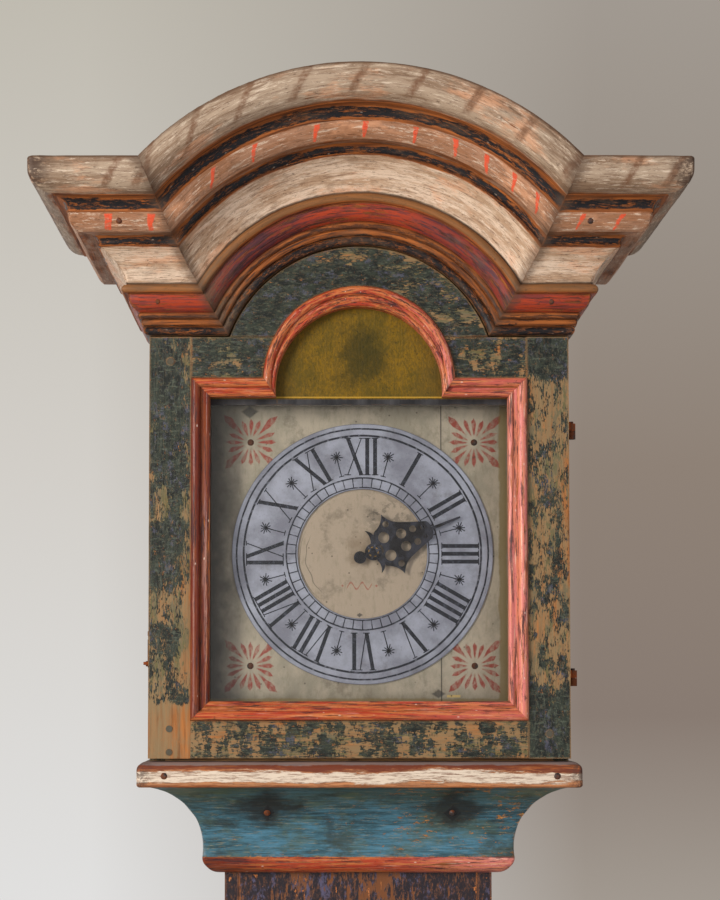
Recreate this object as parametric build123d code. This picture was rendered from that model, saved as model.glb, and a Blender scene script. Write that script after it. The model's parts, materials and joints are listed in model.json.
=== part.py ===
from build123d import *
import math
import os

# A floor-standing painted longcase clock. The origin is on the floor, under the middle of its
# outer box. X is to the right, Y to the back and Z up, in millimetres.

# ---- Driving dimensions: the case as a whole ----
hood_width = 400.0
hood_depth = 205.0
cornice_projection = 105.0
trunk_width = 260.0
trunk_recess = 70.0
trunk_height = 824.0
base_height = 383.0
foot_height = 90.0

# ---- Boards ----
hood_board = 15.0
hood_floor_thickness = 14.0
trunk_board = 14.0
trunk_front_thickness = 16.0
base_board = 16.0
back_thickness = 12.0
plinth_board = 12.0
plinth_top = 104.0
plinth_foot = 62.0
plinth_arch_height = 55.0
plinth_arch_radius = 34.0
foot_inset = 8.0
base_floor_thickness = 14.0
panel_margin = 58.0
panel_margin_above = 44.0

# ---- Mouldings round the waist and round the base ----
torus_height = 24.0
torus_overhang = 10.0
torus_upper_round = 8.0
torus_lower_round = 3.0
cove_height = 69.0
ovolo_height = 16.0
ovolo_projection = 21.0
ovolo_foot = 6.0
ovolo_lip = 2.5
cove_foot = 21.0

# ---- Cornice ----
cornice_height = 149.0
arch_drop = 45.4
arch_spread = 3.7
door_to_cornice = 1.5

# ---- Hood door ----
door_height = 401.5
door_thickness = 20.0
door_lift = 3.0
door_to_case = 1.0
stile_width = 40.0
bottom_rail_height = 36.0
door_slip_width = 18.0
glass_height = 290.0
slip_relief = 3.0
slip_depth = 10.0
outer_bead = 4.6
inner_bead = 2.2
lunette_outer_radius = 91.5
lunette_outer_lift = 14.9
lunette_inner_radius = 79.6
lunette_inner_lift = 7.1
head_gap = 1.5
head_back_relief = 2.4
glass_thickness = 2.0
lunette_thickness = 4.0
glazing_bar = 5.5
strip_width = 9.0
strip_depth = 6.0
fit_gap = 0.3
peg_radius = 3.2
peg_inset = 20.0
peg_drop = 23.5

# ---- Hinges, hook and button ----
knuckle_radius = 4.0
pin_radius = 2.0
running_gap = 0.05
leaf_thickness = 2.0
leaf_height = 15.0
leaf_width = 16.0
hinge_pin_rise = 2.0
hinge_heights = (79.0, 316.0)
hook_height = 90.0
hook_length = 25.0

# ---- Dial ----
dial_depth = 43.0
dial_thickness = 12.0
dial_rise = 390.0
dial_joint = 80.0
ring_centre_x = 4.0
ring_centre_rise = 199.5
ring_outer_radius = 126.5
ring_inner_radius = 62.7
ring_thickness = 2.0
flower_reach = 108.5
batten_height = 32.0
batten_thickness = 12.0

# ---- Hand and movement ----
arbor_x = 14.5
arbor_rise = 201.0
hand_thickness = 1.6
hand_clearance = 5.0
hand_length = 90.5
hand_angle = 22.0
plate_thickness = 3.0
plate_gap = 63.0
dial_to_plate = 14.0
post_radius = 3.0
pipe_radius = 5.0
arbor_radius = 2.0
pivot_radius = 1.4
great_teeth = 56
great_pinion_teeth = 7
great_module = 1.2
second_teeth = 54
second_pinion_teeth = 6
second_module = 1.0
motion_teeth = 72
motion_pinion_teeth = 6
motion_module = 0.8
escape_teeth = 25
escape_radius = 20.0
pallet_distance = 28.0
train_spacing = 80.0
pulley_radius = 22.0
line_radius = 1.0
pendulum_length = 994.0
bob_radius = 55.0
bob_thickness = 28.0
rod_radius = 2.5
weight_radius = 26.0
weight_height = 170.0
weight_rise = 140.0
seat_thickness = 18.0
seat_rise = 107.0
bell_radius = 42.0
bell_thickness = 2.0

# ---- Trunk door ----
trunk_door_width = 170.0
trunk_door_margin = 60.0
trunk_door_gap = 1.5
trunk_slip_width = 16.0
trunk_slip_inset = 14.0
trunk_leaf_height = 26.0
trunk_leaf_reach = 12.0
trunk_hinge_inset = 90.0
trunk_knuckle = 3.0
trunk_pin_radius = 1.5
button_edge = 12.0
button_long = 21.0
button_wide = 7.0
button_thickness = 5.7
button_screw_radius = 2.0
button_screw_head = 4.0

# ---- Places that follow from the sizes above ----
hood_half = hood_width / 2
trunk_half = trunk_width / 2
side_stretch = (hood_half - trunk_half) / trunk_recess
wide = 2 * hood_width
torus_projection = trunk_recess + torus_overhang
band_reach = torus_projection + 10
case_back = (hood_depth + cornice_projection) / 2
case_inner_back = case_back - back_thickness
door_front = case_back - hood_depth
door_back = door_front + door_thickness
case_front = door_back + door_to_case
trunk_front = door_front + trunk_recess

base_bottom = foot_height
base_top = base_bottom + base_height
base_band = torus_height + cove_height + ovolo_height
trunk_bottom = base_top + base_band
trunk_top = trunk_bottom + trunk_height
hood_bottom = trunk_top + base_band

door_bottom = hood_bottom + door_lift
door_top = door_bottom + door_height
cornice_bottom = door_top + door_to_cornice
cornice_top = cornice_bottom + cornice_height
arch_centre = cornice_bottom - arch_drop
arch_top_radius = math.hypot(hood_half + arch_spread, cornice_top - arch_centre)
arch_radius = arch_top_radius - cornice_height
side_top = cornice_top - hood_board

opening_bottom = door_bottom + bottom_rail_height + door_slip_width
opening_top = opening_bottom + glass_height
frame_inner = hood_half - stile_width
opening_half = frame_inner - door_slip_width
frame_low = opening_bottom - door_slip_width
frame_high = opening_top + door_slip_width
lunette_outer_z = opening_top + lunette_outer_lift
lunette_inner_z = opening_top + lunette_inner_lift
slip_front = door_front - slip_relief
slip_back = slip_front + slip_depth + slip_relief

dial_front = door_front + dial_depth
dial_back = dial_front + dial_thickness
ring_z = hood_bottom + ring_centre_rise
arbor_z = hood_bottom + arbor_rise
front_plate = dial_back + dial_to_plate
back_plate = front_plate + plate_thickness + plate_gap
train_end = back_plate + plate_thickness
line_y = front_plate + 51.0
pendulum_y = case_inner_back - bob_thickness / 2 - 6.0
great_z = arbor_z - motion_module * (motion_teeth + motion_pinion_teeth) / 2
second_z = great_z + great_module * (great_teeth + great_pinion_teeth) / 2
escape_z = second_z + second_module * (second_teeth + second_pinion_teeth) / 2
pallet_z = escape_z + pallet_distance
strike_x = arbor_x - train_spacing
seat_bottom = hood_bottom + seat_rise
seat_top = seat_bottom + seat_thickness

os.makedirs("parts", exist_ok=True)


# ---- Ways of making a piece ----
def save(name, *pieces):
    """Write one node, as one or more separate solids."""
    solids = []
    for piece in pieces:
        solids.extend(piece.solids())
    export_step(Compound(solids), f"parts/{name}.step")


def block(x0, x1, y0, y1, z0, z1):
    """A board with its faces square to the axes."""
    middle = Pos((x0 + x1) / 2, (y0 + y1) / 2, (z0 + z1) / 2)
    return middle * Box(abs(x1 - x0), abs(y1 - y0), abs(z1 - z0))


def pair(shape):
    """A piece on the right and its mirror image on the left."""
    return [shape, mirror(shape, about=Plane.YZ)]


def plate(outline, front, back):
    """An outline drawn in X and Z, made solid from front to back."""
    return Pos(0, back, 0) * extrude(Plane.XZ * outline, amount=back - front, dir=(0, -1, 0))


def patch(*corners):
    """A flat face with straight sides, drawn in X and Z."""
    return Polygon(*corners, align=None)


def disc(x, z, radius):
    """A round face, drawn in X and Z."""
    return Pos(x, z) * Circle(radius)


def lying(x, z, front, back, radius):
    """A round bar that runs from front to back."""
    return plate(disc(x, z, radius), front, back)


def standing(x, y, low, high, radius):
    """A round bar that stands upright."""
    return Pos(x, y, (low + high) / 2) * Cylinder(radius, high - low)


def bar_between(start, end, radius):
    """A round bar from one point to another."""
    run = Vector(*end) - Vector(*start)
    place = Plane(origin=start, z_dir=run)
    return place * Pos(0, 0, run.length / 2) * Cylinder(radius, run.length)


def outline_face(place, start, *moves):
    """A closed face of straight sides and arcs. A move is an end point, or a middle and an end."""
    edges = []
    here = start
    for move in moves:
        if isinstance(move[0], tuple):
            edges.append(Edge.make_three_point_arc(place(*here), place(*move[0]), place(*move[1])))
            here = move[1]
        else:
            edges.append(Edge.make_line(place(*here), place(*move)))
            here = move
    if here != start:
        edges.append(Edge.make_line(place(*here), place(*start)))
    return Face(Wire(edges))


def front_wedge(face_x, face_y, reach, stretch=1.0):
    """The room in front of a box, with its two ends on the mitres of the box's front corners."""
    long_x = face_x + reach * stretch
    long_y = face_y - reach
    plan = Polygon((-long_x, long_y), (long_x, long_y), (face_x, face_y), (-face_x, face_y), align=None)
    return extrude(plan, amount=4 * cornice_top, dir=(0, 0, 1))


def mitred_band(section, face_x, face_y, reach, stretch=1.0):
    """A moulding round the front and both sides of a box: the front length and the right side length.

    The section takes a function that places a point by its projection from the box and its height.
    The side lengths project stretch times as far as the front length.
    """
    front_face = section(lambda out, z: (0, face_y - out, z))
    side_face = section(lambda out, z: (face_x + out * stretch, 0, z))
    long_x = face_x + reach * stretch
    wedge = front_wedge(face_x, face_y, reach, stretch)
    front = extrude(front_face, amount=long_x, dir=(1, 0, 0), both=True) & wedge
    side = Pos(0, face_y - reach, 0) * extrude(side_face, amount=case_back - face_y + reach, dir=(0, 1, 0))
    return front, side - wedge


def rounded_corner(out, height, radius, up):
    """The middle and the end of a quarter round that ends on the level line at this height."""
    slant = radius * math.sqrt(0.5)
    middle = (out - radius + slant, height - up * (radius - slant))
    return middle, (out - radius, height)


def band_sections(edge_z, up):
    """The torus, cove and ovolo between a wide box and the narrow trunk. up is 1 or -1."""
    torus_low = edge_z - up * torus_height
    cove_low = torus_low - up * cove_height
    ovolo_low = cove_low - up * ovolo_height
    lower_face = torus_low + up * torus_lower_round
    lower_middle, lower_end = rounded_corner(torus_projection, torus_low, torus_lower_round, -up)
    upper_round = rounded_corner(torus_projection, edge_z, torus_upper_round, up)

    def torus(place):
        return outline_face(
            place,
            (0, torus_low),
            lower_end,
            (lower_middle, (torus_projection, lower_face)),
            (torus_projection, edge_z - up * torus_upper_round),
            upper_round,
            (0, edge_z),
        )

    def cove(place):
        middle = (
            trunk_recess - (trunk_recess - cove_foot) * math.cos(math.radians(45)),
            cove_low + up * cove_height * math.sin(math.radians(45)),
        )
        curve = (middle, (trunk_recess, torus_low))
        return outline_face(place, (0, cove_low), (cove_foot, cove_low), curve, (0, torus_low))

    def ovolo(place):
        middle = (ovolo_projection * 0.79, ovolo_low + up * ovolo_height * 0.32)
        lip = (ovolo_projection, cove_low - up * ovolo_lip)
        curve = (middle, lip)
        top = (ovolo_projection, cove_low)
        return outline_face(place, (0, ovolo_low), (ovolo_foot, ovolo_low), curve, top, (0, cove_low))

    return torus, cove, ovolo


def beaded_slip(corners, beads):
    """One mitred length of beaded moulding: corners in X and Z, and each bead's ends and radius."""
    face = patch(*corners)
    slip = plate(face, slip_front + slip_relief / 2, slip_back)
    room = plate(face, slip_front - outer_bead, slip_back)
    for start, end, radius in beads:
        low = (start[0], slip_front + slip_relief / 2, start[1])
        high = (end[0], slip_front + slip_relief / 2, end[1])
        slip += bar_between(low, high, radius) & room
    return slip


def beaded_frame(half, low, high, width):
    """Four mitred lengths of beaded moulding round a rectangular field."""
    out = half + width
    outer = width - outer_bead
    inner = inner_bead + 0.5
    bottom = beaded_slip(
        [(-out, low - width), (out, low - width), (half, low), (-half, low)],
        [((-out, low - outer), (out, low - outer), outer_bead),
         ((-out, low - inner), (out, low - inner), inner_bead)],
    )
    top = beaded_slip(
        [(-out, high + width), (-half, high), (half, high), (out, high + width)],
        [((-out, high + outer), (out, high + outer), outer_bead),
         ((-out, high + inner), (out, high + inner), inner_bead)],
    )
    right = upright_slip(half, low, high, width)
    return [bottom, top, *pair(right)]


def upright_slip(half, low, high, width):
    """The right-hand upright length of a rectangle of beaded moulding."""
    out = half + width
    outer = half + width - outer_bead
    inner = half + inner_bead + 0.5
    return beaded_slip(
        [(half, low), (out, low - width), (out, high + width), (half, high)],
        [((outer, low - width), (outer, high + width), outer_bead),
         ((inner, low - width), (inner, high + width), inner_bead)],
    )


def toothed_face(teeth, module, leaf_share, rise, fall):
    """The face of a wheel or pinion with slim straight-sided teeth."""
    pitch_radius = teeth * module / 2
    tip = pitch_radius + rise * module
    root = pitch_radius - fall * module
    step = 2 * math.pi / teeth
    corners = []
    for index in range(teeth):
        middle = index * step
        for radius, half in ((root, leaf_share * 0.62), (tip, leaf_share * 0.22)):
            angle = middle - half * step
            corners.append((radius * math.cos(angle), radius * math.sin(angle)))
        for radius, half in ((tip, leaf_share * 0.22), (root, leaf_share * 0.62)):
            angle = middle + half * step
            corners.append((radius * math.cos(angle), radius * math.sin(angle)))
    return Polygon(*corners, align=None)


def toothed(x, z, front, back, teeth, module, turn, pinion=False):
    """A toothed disc in its place. turn is the angle of its first tooth from +X towards +Z."""
    if pinion:
        face = toothed_face(teeth, module, 0.36, 0.7, 1.25)
    else:
        face = toothed_face(teeth, module, 0.36, 0.7, 1.3)
    return plate(Pos(x, z) * Rot(0, 0, turn) * face, front, back)


def crossed_out(x, z, front, back, rim, hub, arms):
    """The openings between the arms of a wheel."""
    openings = []
    for index in range(arms):
        sector = disc(x, z, rim) - disc(x, z, hub)
        turn = 360 / arms * index
        arm_gap = 180 / arms - 9
        reach = rim * 1.6
        wedge = patch(
            (0, 0),
            (reach * math.cos(math.radians(-arm_gap)), reach * math.sin(math.radians(-arm_gap))),
            (reach * math.cos(math.radians(arm_gap)), reach * math.sin(math.radians(arm_gap))),
        )
        openings.append(plate(sector & (Pos(x, z) * Rot(0, 0, turn) * wedge), front, back))
    return openings


def arbor(x, z, front, back):
    """A wheel's axle: a stout middle and two slim pivots that reach through the plates."""
    middle = lying(x, z, front_plate + plate_thickness + fit_gap, back_plate - fit_gap, arbor_radius)
    return middle + lying(x, z, front, back, pivot_radius)


# ---- Plinth and base ----
plinth_half = hood_half + plinth_board
plinth_front = door_front - plinth_board
front_arch = RectangleRounded(2 * (plinth_half - plinth_foot), 2 * plinth_arch_height, plinth_arch_radius)
skirt_face = Pos(0, plinth_top / 2) * Rectangle(2 * plinth_half, plinth_top)
front_skirt = plate(skirt_face - front_arch, plinth_front, door_front)
side_arch_long = hood_depth - 2 * plinth_foot + plinth_board
side_arch = RectangleRounded(side_arch_long, 2 * plinth_arch_height, plinth_arch_radius)
side_arch = Plane.YZ * (Pos((door_front + case_back) / 2, 0) * side_arch)
side_skirt = block(hood_half, plinth_half, door_front, case_back, 0, plinth_top)
side_skirt -= extrude(side_arch, amount=2 * plinth_half)
save("plinth", front_skirt, *pair(side_skirt))

foot_side = plinth_foot - plinth_board - foot_inset
foot_in = hood_half - foot_side
foot_front = block(foot_in, hood_half, door_front, door_front + foot_side, 0, foot_height)
foot_back = block(foot_in, hood_half, case_back - foot_side, case_back, 0, foot_height)
save("foot_blocks", *pair(foot_front), *pair(foot_back))

base_inner = hood_half - base_board
base_front_back = door_front + base_board
save("base_front", block(-hood_half, hood_half, door_front, base_front_back, base_bottom, base_top))
base_side = block(base_inner, hood_half, base_front_back, case_inner_back, base_bottom, base_top)
save("base_sides", *pair(base_side))
save("base_back", block(-hood_half, hood_half, case_inner_back, case_back, base_bottom, base_top))
floor_top = base_bottom + base_floor_thickness
base_floor = block(-base_inner, base_inner, base_front_back, case_inner_back, base_bottom, floor_top)
save("base_floor", base_floor)

panel_half = hood_half - panel_margin
field_low = plinth_top + panel_margin
field_high = base_top - panel_margin_above
panel_slips = beaded_frame(panel_half, field_low, field_high, door_slip_width)
base_slip_shift = Pos(0, door_front - slip_back, 0)
save("base_panel_moulding", *[base_slip_shift * slip for slip in panel_slips])

for band, band_section in zip(("torus", "cove", "ovolo"), band_sections(base_top, -1)):
    band_front, band_side = mitred_band(band_section, trunk_half, trunk_front, band_reach, side_stretch)
    save(f"base_{band}", band_front, *pair(band_side))

# ---- Trunk ----
trunk_inner = trunk_half - trunk_board
side_board = block(trunk_inner, trunk_half, trunk_front, case_inner_back, base_top, seat_bottom)
save("trunk_sides", *pair(side_board))
save("trunk_back", block(-trunk_half, trunk_half, case_inner_back, case_back, base_top, hood_bottom))

trunk_frame_back = trunk_front + trunk_front_thickness
trunk_opening = trunk_door_width / 2 + trunk_door_gap
trunk_door_low = trunk_bottom + trunk_door_margin
trunk_door_high = trunk_top - trunk_door_margin
frame_stile = block(trunk_opening, trunk_inner, trunk_front, trunk_frame_back, base_top, hood_bottom)
frame_rail = block(-trunk_opening, trunk_opening, trunk_front, trunk_frame_back, base_top, hood_bottom)
below_door = block(-wide, wide, -wide, wide, 0, trunk_door_low - trunk_door_gap)
above_door = block(-wide, wide, -wide, wide, trunk_door_high + trunk_door_gap, cornice_top)
save("trunk_front_frame", *pair(frame_stile), frame_rail & below_door, frame_rail & above_door)

for band, band_section in zip(("torus", "cove", "ovolo"), band_sections(hood_bottom, 1)):
    band_front, band_side = mitred_band(band_section, trunk_half, trunk_front, band_reach, side_stretch)
    save(f"waist_{band}", band_front, *pair(band_side))

# ---- Trunk door, with its hinges on the right ----
trunk_door_half = trunk_door_width / 2
door_board = block(
    -trunk_door_half, trunk_door_half, trunk_front, trunk_frame_back, trunk_door_low, trunk_door_high
)
save("trunk_door_board", door_board)
trunk_slip_outer = trunk_door_half - trunk_slip_inset
trunk_slips = beaded_frame(
    trunk_slip_outer - trunk_slip_width,
    trunk_door_low + trunk_slip_inset + trunk_slip_width,
    trunk_door_high - trunk_slip_inset - trunk_slip_width,
    trunk_slip_width,
)
trunk_slip_shift = Pos(0, trunk_front - slip_back, 0)
save("trunk_door_moulding", *[trunk_slip_shift * slip for slip in trunk_slips])

trunk_pin_x = trunk_door_half + trunk_door_gap / 2
trunk_pin_y = trunk_front - trunk_knuckle
leaf_front = trunk_front - leaf_thickness
fixed_leaves = []
moving_leaves = []
for hinge_z in (trunk_door_low + trunk_hinge_inset, trunk_door_high - trunk_hinge_inset):
    low = hinge_z - trunk_leaf_height / 2
    high = hinge_z + trunk_leaf_height / 2
    leaf_low = hinge_z + fit_gap
    lower = standing(trunk_pin_x, trunk_pin_y, low, hinge_z, trunk_knuckle)
    lower += block(trunk_pin_x, trunk_pin_x + trunk_leaf_reach, leaf_front, trunk_front, low, hinge_z)
    lower += standing(trunk_pin_x, trunk_pin_y, hinge_z - 1.0, high, trunk_pin_radius)
    fixed_leaves.append(lower)
    upper = standing(trunk_pin_x, trunk_pin_y, leaf_low, high, trunk_knuckle)
    upper += block(trunk_pin_x - trunk_leaf_reach, trunk_pin_x, leaf_front, trunk_front, leaf_low, high)
    upper -= standing(trunk_pin_x, trunk_pin_y, hinge_z - 1.0, 2 * high, trunk_pin_radius + running_gap)
    moving_leaves.append(upper)
save("trunk_hinge_leaves", *moving_leaves)

button_x = -trunk_opening - button_edge
button_z = (trunk_door_low + trunk_door_high) / 2
button_front = trunk_front - fit_gap - button_thickness
button_face = Pos(button_x, button_z) * Rot(0, 0, 90) * SlotOverall(2 * button_long, 2 * button_wide)
button = plate(button_face, button_front, trunk_front - fit_gap)
button -= lying(button_x, button_z, button_front, trunk_front, button_screw_radius + running_gap)
save("turn_button", button)
screw_front = button_front - 2.5
button_screw = lying(button_x, button_z, screw_front, trunk_front, button_screw_radius)
button_screw += lying(button_x, button_z, screw_front, button_front - fit_gap, button_screw_head)

# ---- Hood: floor, sides, back, frieze and roof ----
floor_high = hood_bottom + hood_floor_thickness
side_inner = hood_half - hood_board
floor_front = block(-side_inner, side_inner, case_front, trunk_front - fit_gap, hood_bottom, floor_high)
floor_side = block(
    trunk_half + fit_gap, side_inner, trunk_front - fit_gap, case_inner_back, hood_bottom, floor_high
)
save("hood_floor", floor_front, *pair(floor_side))

hood_side = block(side_inner, hood_half, case_front, case_inner_back, hood_bottom, side_top)
save("hood_sides", *pair(hood_side))

roof_outer = math.hypot(hood_half, side_top - arch_centre)
roof_inner = math.hypot(side_inner, side_top - arch_centre)
hood_back = block(-hood_half, hood_half, case_inner_back, case_back, hood_bottom, side_top)
above_sides = patch((-wide, side_top), (wide, side_top), (wide, 2 * side_top), (-wide, 2 * side_top))
hood_back += plate(disc(0, arch_centre, roof_outer) & above_sides, case_inner_back, case_back)
save("hood_back", hood_back)

roof_ring = disc(0, arch_centre, roof_outer) - disc(0, arch_centre, roof_inner)
save("roof_boards", plate(roof_ring & above_sides, case_front, case_inner_back))

frieze_setback = 2.0
frieze_face = patch(
    (-hood_half, cornice_bottom), (hood_half, cornice_bottom), (hood_half, side_top), (-hood_half, side_top)
)
frieze_face += disc(0, arch_centre, arch_top_radius - frieze_setback) & above_sides
frieze_face -= disc(0, arch_centre, arch_radius)
frieze_face &= patch((-hood_half, 0), (hood_half, 0), (hood_half, 2 * side_top), (-hood_half, 2 * side_top))
frieze = plate(frieze_face, door_front, case_front)
save("frieze_board", frieze)


# ---- Cornice: one section, run straight, round the sides and over the arch ----
# The section is drawn 100 out by 146 high, and scaled to the cornice.
section_out = cornice_projection / 100.0
section_up = cornice_height / 146.0


def cornice_section(place):
    """The cornice from its lowest bead to its top edge, by projection and height."""
    return outline_face(
        lambda out, height: place(out * section_out, height * section_up),
        (0, 0),
        (2, 0),
        ((5.2, 4), (3, 8)),
        (5, 8),
        ((8, 11), (6.5, 14)),
        ((10.5, 17), (9, 20)),
        (10, 20),
        ((17.6, 27), (19, 36)),
        (22, 36),
        ((25, 40), (22, 44)),
        (20, 44),
        ((28.4, 61.6), (42, 74.5)),
        (44, 76),
        ((44.2, 82), (48, 85)),
        (60, 85),
        ((66.2, 92), (68, 101)),
        (69, 102),
        ((71.2, 110), (80, 114)),
        (81, 115),
        ((94.6, 121), (100, 135)),
        (100, 143),
        ((99.2, 145.2), (97, 146)),
        (0, 146),
    )


def valley_x(height):
    """Where the arch and the straight cornice meet, at a height above the cornice's lower edge."""
    return math.sqrt(arch_radius**2 - arch_drop**2 + 2 * height * (arch_radius - arch_drop))


valley_low = (valley_x(0), cornice_bottom)
valley_mid = (valley_x(cornice_height / 2), cornice_bottom + cornice_height / 2)
valley_high = (valley_x(cornice_height), cornice_top)
far = 2 * hood_width
spare = 300.0
straight_region = outline_face(
    lambda x, z: (x, 0, z),
    valley_low,
    (valley_mid, valley_high),
    (valley_high[0], cornice_top + spare),
    (far, cornice_top + spare),
    (far, cornice_bottom - spare),
    (valley_low[0], cornice_bottom - spare),
)
arch_region = outline_face(
    lambda x, z: (x, 0, z),
    valley_low,
    (valley_mid, valley_high),
    (valley_high[0], cornice_top + spare),
    (-valley_high[0], cornice_top + spare),
    (-valley_high[0], cornice_top),
    ((-valley_mid[0], valley_mid[1]), (-valley_low[0], cornice_bottom)),
)
reach_y = 3 * cornice_projection
straight_room = extrude(straight_region, amount=reach_y, dir=(0, -1, 0), both=True)
arch_room = extrude(arch_region, amount=reach_y, dir=(0, -1, 0), both=True)

cornice_front, cornice_side = mitred_band(
    lambda place: cornice_section(lambda out, height: place(out, cornice_bottom + height)),
    hood_half,
    door_front,
    cornice_projection + 10,
)
save("cornice_fronts", *pair(cornice_front & straight_room))
save("cornice_returns", *pair(cornice_side))
arch_face = cornice_section(lambda out, height: (arch_radius + height, door_front - out, arch_centre))
arch_axis = Axis((0, 0, arch_centre), (0, 1, 0))
arch_wedge = front_wedge(hood_half, door_front, cornice_projection + 10)
save("cornice_arch", revolve(arch_face, axis=arch_axis, revolution_arc=360) & arch_room & arch_wedge)

# ---- Hood door ----
stile = block(frame_inner, hood_half, door_front, door_back, door_bottom, door_top)
peg_places = [
    (-hood_half + peg_inset, door_top - peg_drop),
    (-hood_half + peg_inset, frame_low - 8.0),
    (-hood_half + peg_inset, door_bottom + 6.0),
    (hood_half - peg_inset, door_bottom + peg_drop),
]
pegs = [lying(x, z, door_front - 0.4, door_back, peg_radius) for x, z in peg_places]
stiles = pair(stile)
for peg in pegs:
    stiles = [one - peg for one in stiles]
save("door_stiles", *stiles)
save("door_pegs", *pegs)

lunette_hole = disc(0, lunette_outer_z, lunette_outer_radius)
bottom_rail = block(-frame_inner, frame_inner, door_front, door_back, door_bottom, frame_low)
top_rail_face = patch((0, frame_high), (frame_inner, frame_high), (frame_inner, door_top), (0, door_top))
top_rail = plate(top_rail_face - lunette_hole, door_front, door_back)
save("door_rails", bottom_rail, *pair(top_rail))

head_radius = arch_radius - head_gap
above_rails = patch((-far, door_top), (far, door_top), (far, 2 * door_top), (-far, 2 * door_top))
head_face = (disc(0, arch_centre, head_radius) - lunette_hole) & above_rails
head = plate(head_face, door_front, door_back)
head_cone = Pos(0, (door_front + door_back) / 2, arch_centre) * Rot(90, 0, 0) * Cone(
    head_radius - head_back_relief, head_radius, door_thickness
)
head &= head_cone
save("door_arch_head", head)

slip_out = frame_inner
slip_beads = (door_slip_width - outer_bead, inner_bead + 0.5)
door_frame_slips = beaded_frame(opening_half, opening_bottom, opening_top, door_slip_width)
bottom_slip, _, right_slip, left_slip = door_frame_slips
joint_in = math.sqrt(lunette_inner_radius**2 - lunette_inner_lift**2)
joint_out = math.sqrt(lunette_outer_radius**2 - (frame_high - lunette_outer_z) ** 2)
top_slip = beaded_slip(
    [(slip_out, frame_high), (opening_half, opening_top), (joint_in, opening_top), (joint_out, frame_high)],
    [
        ((0, opening_top + slip_beads[0]), (slip_out, opening_top + slip_beads[0]), outer_bead),
        ((0, opening_top + slip_beads[1]), (slip_out, opening_top + slip_beads[1]), inner_bead),
    ],
)
save("door_moulding", bottom_slip, right_slip, left_slip, *pair(top_slip))

arch_slip_region = patch(
    (joint_in, opening_top),
    (joint_out, frame_high),
    (far, frame_high),
    (far, 2 * door_top),
    (-far, 2 * door_top),
    (-far, frame_high),
    (-joint_out, frame_high),
    (-joint_in, opening_top),
)
slip_ring = disc(0, lunette_outer_z, lunette_outer_radius) - disc(0, lunette_inner_z, lunette_inner_radius)
slip_ring &= arch_slip_region
bead_plane = slip_front + slip_relief / 2
arch_slip = plate(slip_ring, bead_plane, slip_back)
bead_room = plate(slip_ring, slip_front - outer_bead, slip_back)
outer_centre = lunette_outer_radius - outer_bead
outer_ring = Pos(0, bead_plane, lunette_outer_z) * Rot(90, 0, 0) * Torus(outer_centre, outer_bead)
inner_centre = lunette_inner_radius + inner_bead + 0.5
inner_ring = Pos(0, bead_plane, lunette_inner_z) * Rot(90, 0, 0) * Torus(inner_centre, inner_bead)
arch_slip += outer_ring & bead_room
arch_slip += inner_ring & bead_room
save("door_arch_moulding", arch_slip)

glass_half = frame_inner - fit_gap
bar_low = opening_top - glazing_bar - 1.0
panel_low = opening_top - 1.0
glass_back = slip_back + glass_thickness
glass = block(-glass_half, glass_half, slip_back, glass_back, frame_low + fit_gap, bar_low - fit_gap)
save("door_glass", glass)
panel_high = frame_high - fit_gap
panel_face = Pos(0, (panel_low + panel_high) / 2) * Rectangle(2 * glass_half, panel_high - panel_low)
above_panel = Pos(0, panel_high - 1 + far / 2) * Rectangle(2 * far, far)
panel_face += disc(0, lunette_outer_z, lunette_outer_radius - fit_gap) & above_panel
save("lunette_panel", plate(panel_face, slip_back, slip_back + lunette_thickness))
strip_back = glass_back + strip_depth
strip_in = frame_inner - strip_width
strip_side = block(strip_in, frame_inner, glass_back, strip_back, frame_low, bar_low - fit_gap)
strip_bottom = block(-strip_in, strip_in, glass_back, strip_back, frame_low, frame_low + strip_width)
bar = block(-frame_inner, frame_inner, slip_back, strip_back, bar_low, panel_low)
save("glazing_strips", *pair(strip_side), strip_bottom, bar)

# ---- Hood door hinges, on the right-hand side of the case ----
pin_x = hood_half + knuckle_radius + 0.5
pin_y = (door_back + case_front) / 2
leaf_out = hood_half + leaf_thickness
moving_leaves = []
for rise in hinge_heights:
    hinge_z = hood_bottom + rise
    low = hinge_z - leaf_height / 2
    high = hinge_z + leaf_height / 2
    lower = standing(pin_x, pin_y, low, hinge_z, knuckle_radius)
    lower += block(hood_half, leaf_out, pin_y, pin_y + leaf_width, low, hinge_z)
    lower += standing(pin_x, pin_y, hinge_z - 1.0, high + hinge_pin_rise, pin_radius)
    fixed_leaves.append(lower)
    upper = standing(pin_x, pin_y, hinge_z + fit_gap, high, knuckle_radius)
    upper += block(hood_half, leaf_out, pin_y - leaf_width, pin_y, hinge_z + fit_gap, high)
    upper -= standing(pin_x, pin_y, hinge_z - 1.0, 2 * high, pin_radius + running_gap)
    moving_leaves.append(upper)

# ---- Hook on the left: it stands up when loose and comes down over a stud on the door ----
hook_x = -hood_half
hook_z = door_bottom + hook_height
hook_y = case_front + 11.0
stud_y = hook_y - hook_length
hook_pin = 1.5
hook_thickness = 2.5
hook_out = hook_x - fit_gap - hook_thickness
hook_bar = RectangleRounded(6.0, hook_length + 10.0, 2.9)
hook_shape = Plane.YZ * (Pos(hook_y, hook_z + hook_length / 2 + 1.5) * hook_bar)
hook = Pos(hook_out, 0, 0) * extrude(hook_shape, amount=hook_thickness)
notch = block(
    hook_out - 1, hook_x, hook_y - 4.0, hook_y + 2.0, hook_z + hook_length - 1.9, hook_z + hook_length + 1.9
)
eye = Pos(hook_x - 5, hook_y, hook_z) * Rot(0, 90, 0) * Cylinder(hook_pin + running_gap, 20)
save("hood_hook", hook - notch - eye)
hook_rivet = Pos(hook_x - 2.0, hook_y, hook_z) * Rot(0, 90, 0) * Cylinder(hook_pin, 4.0)
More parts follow.
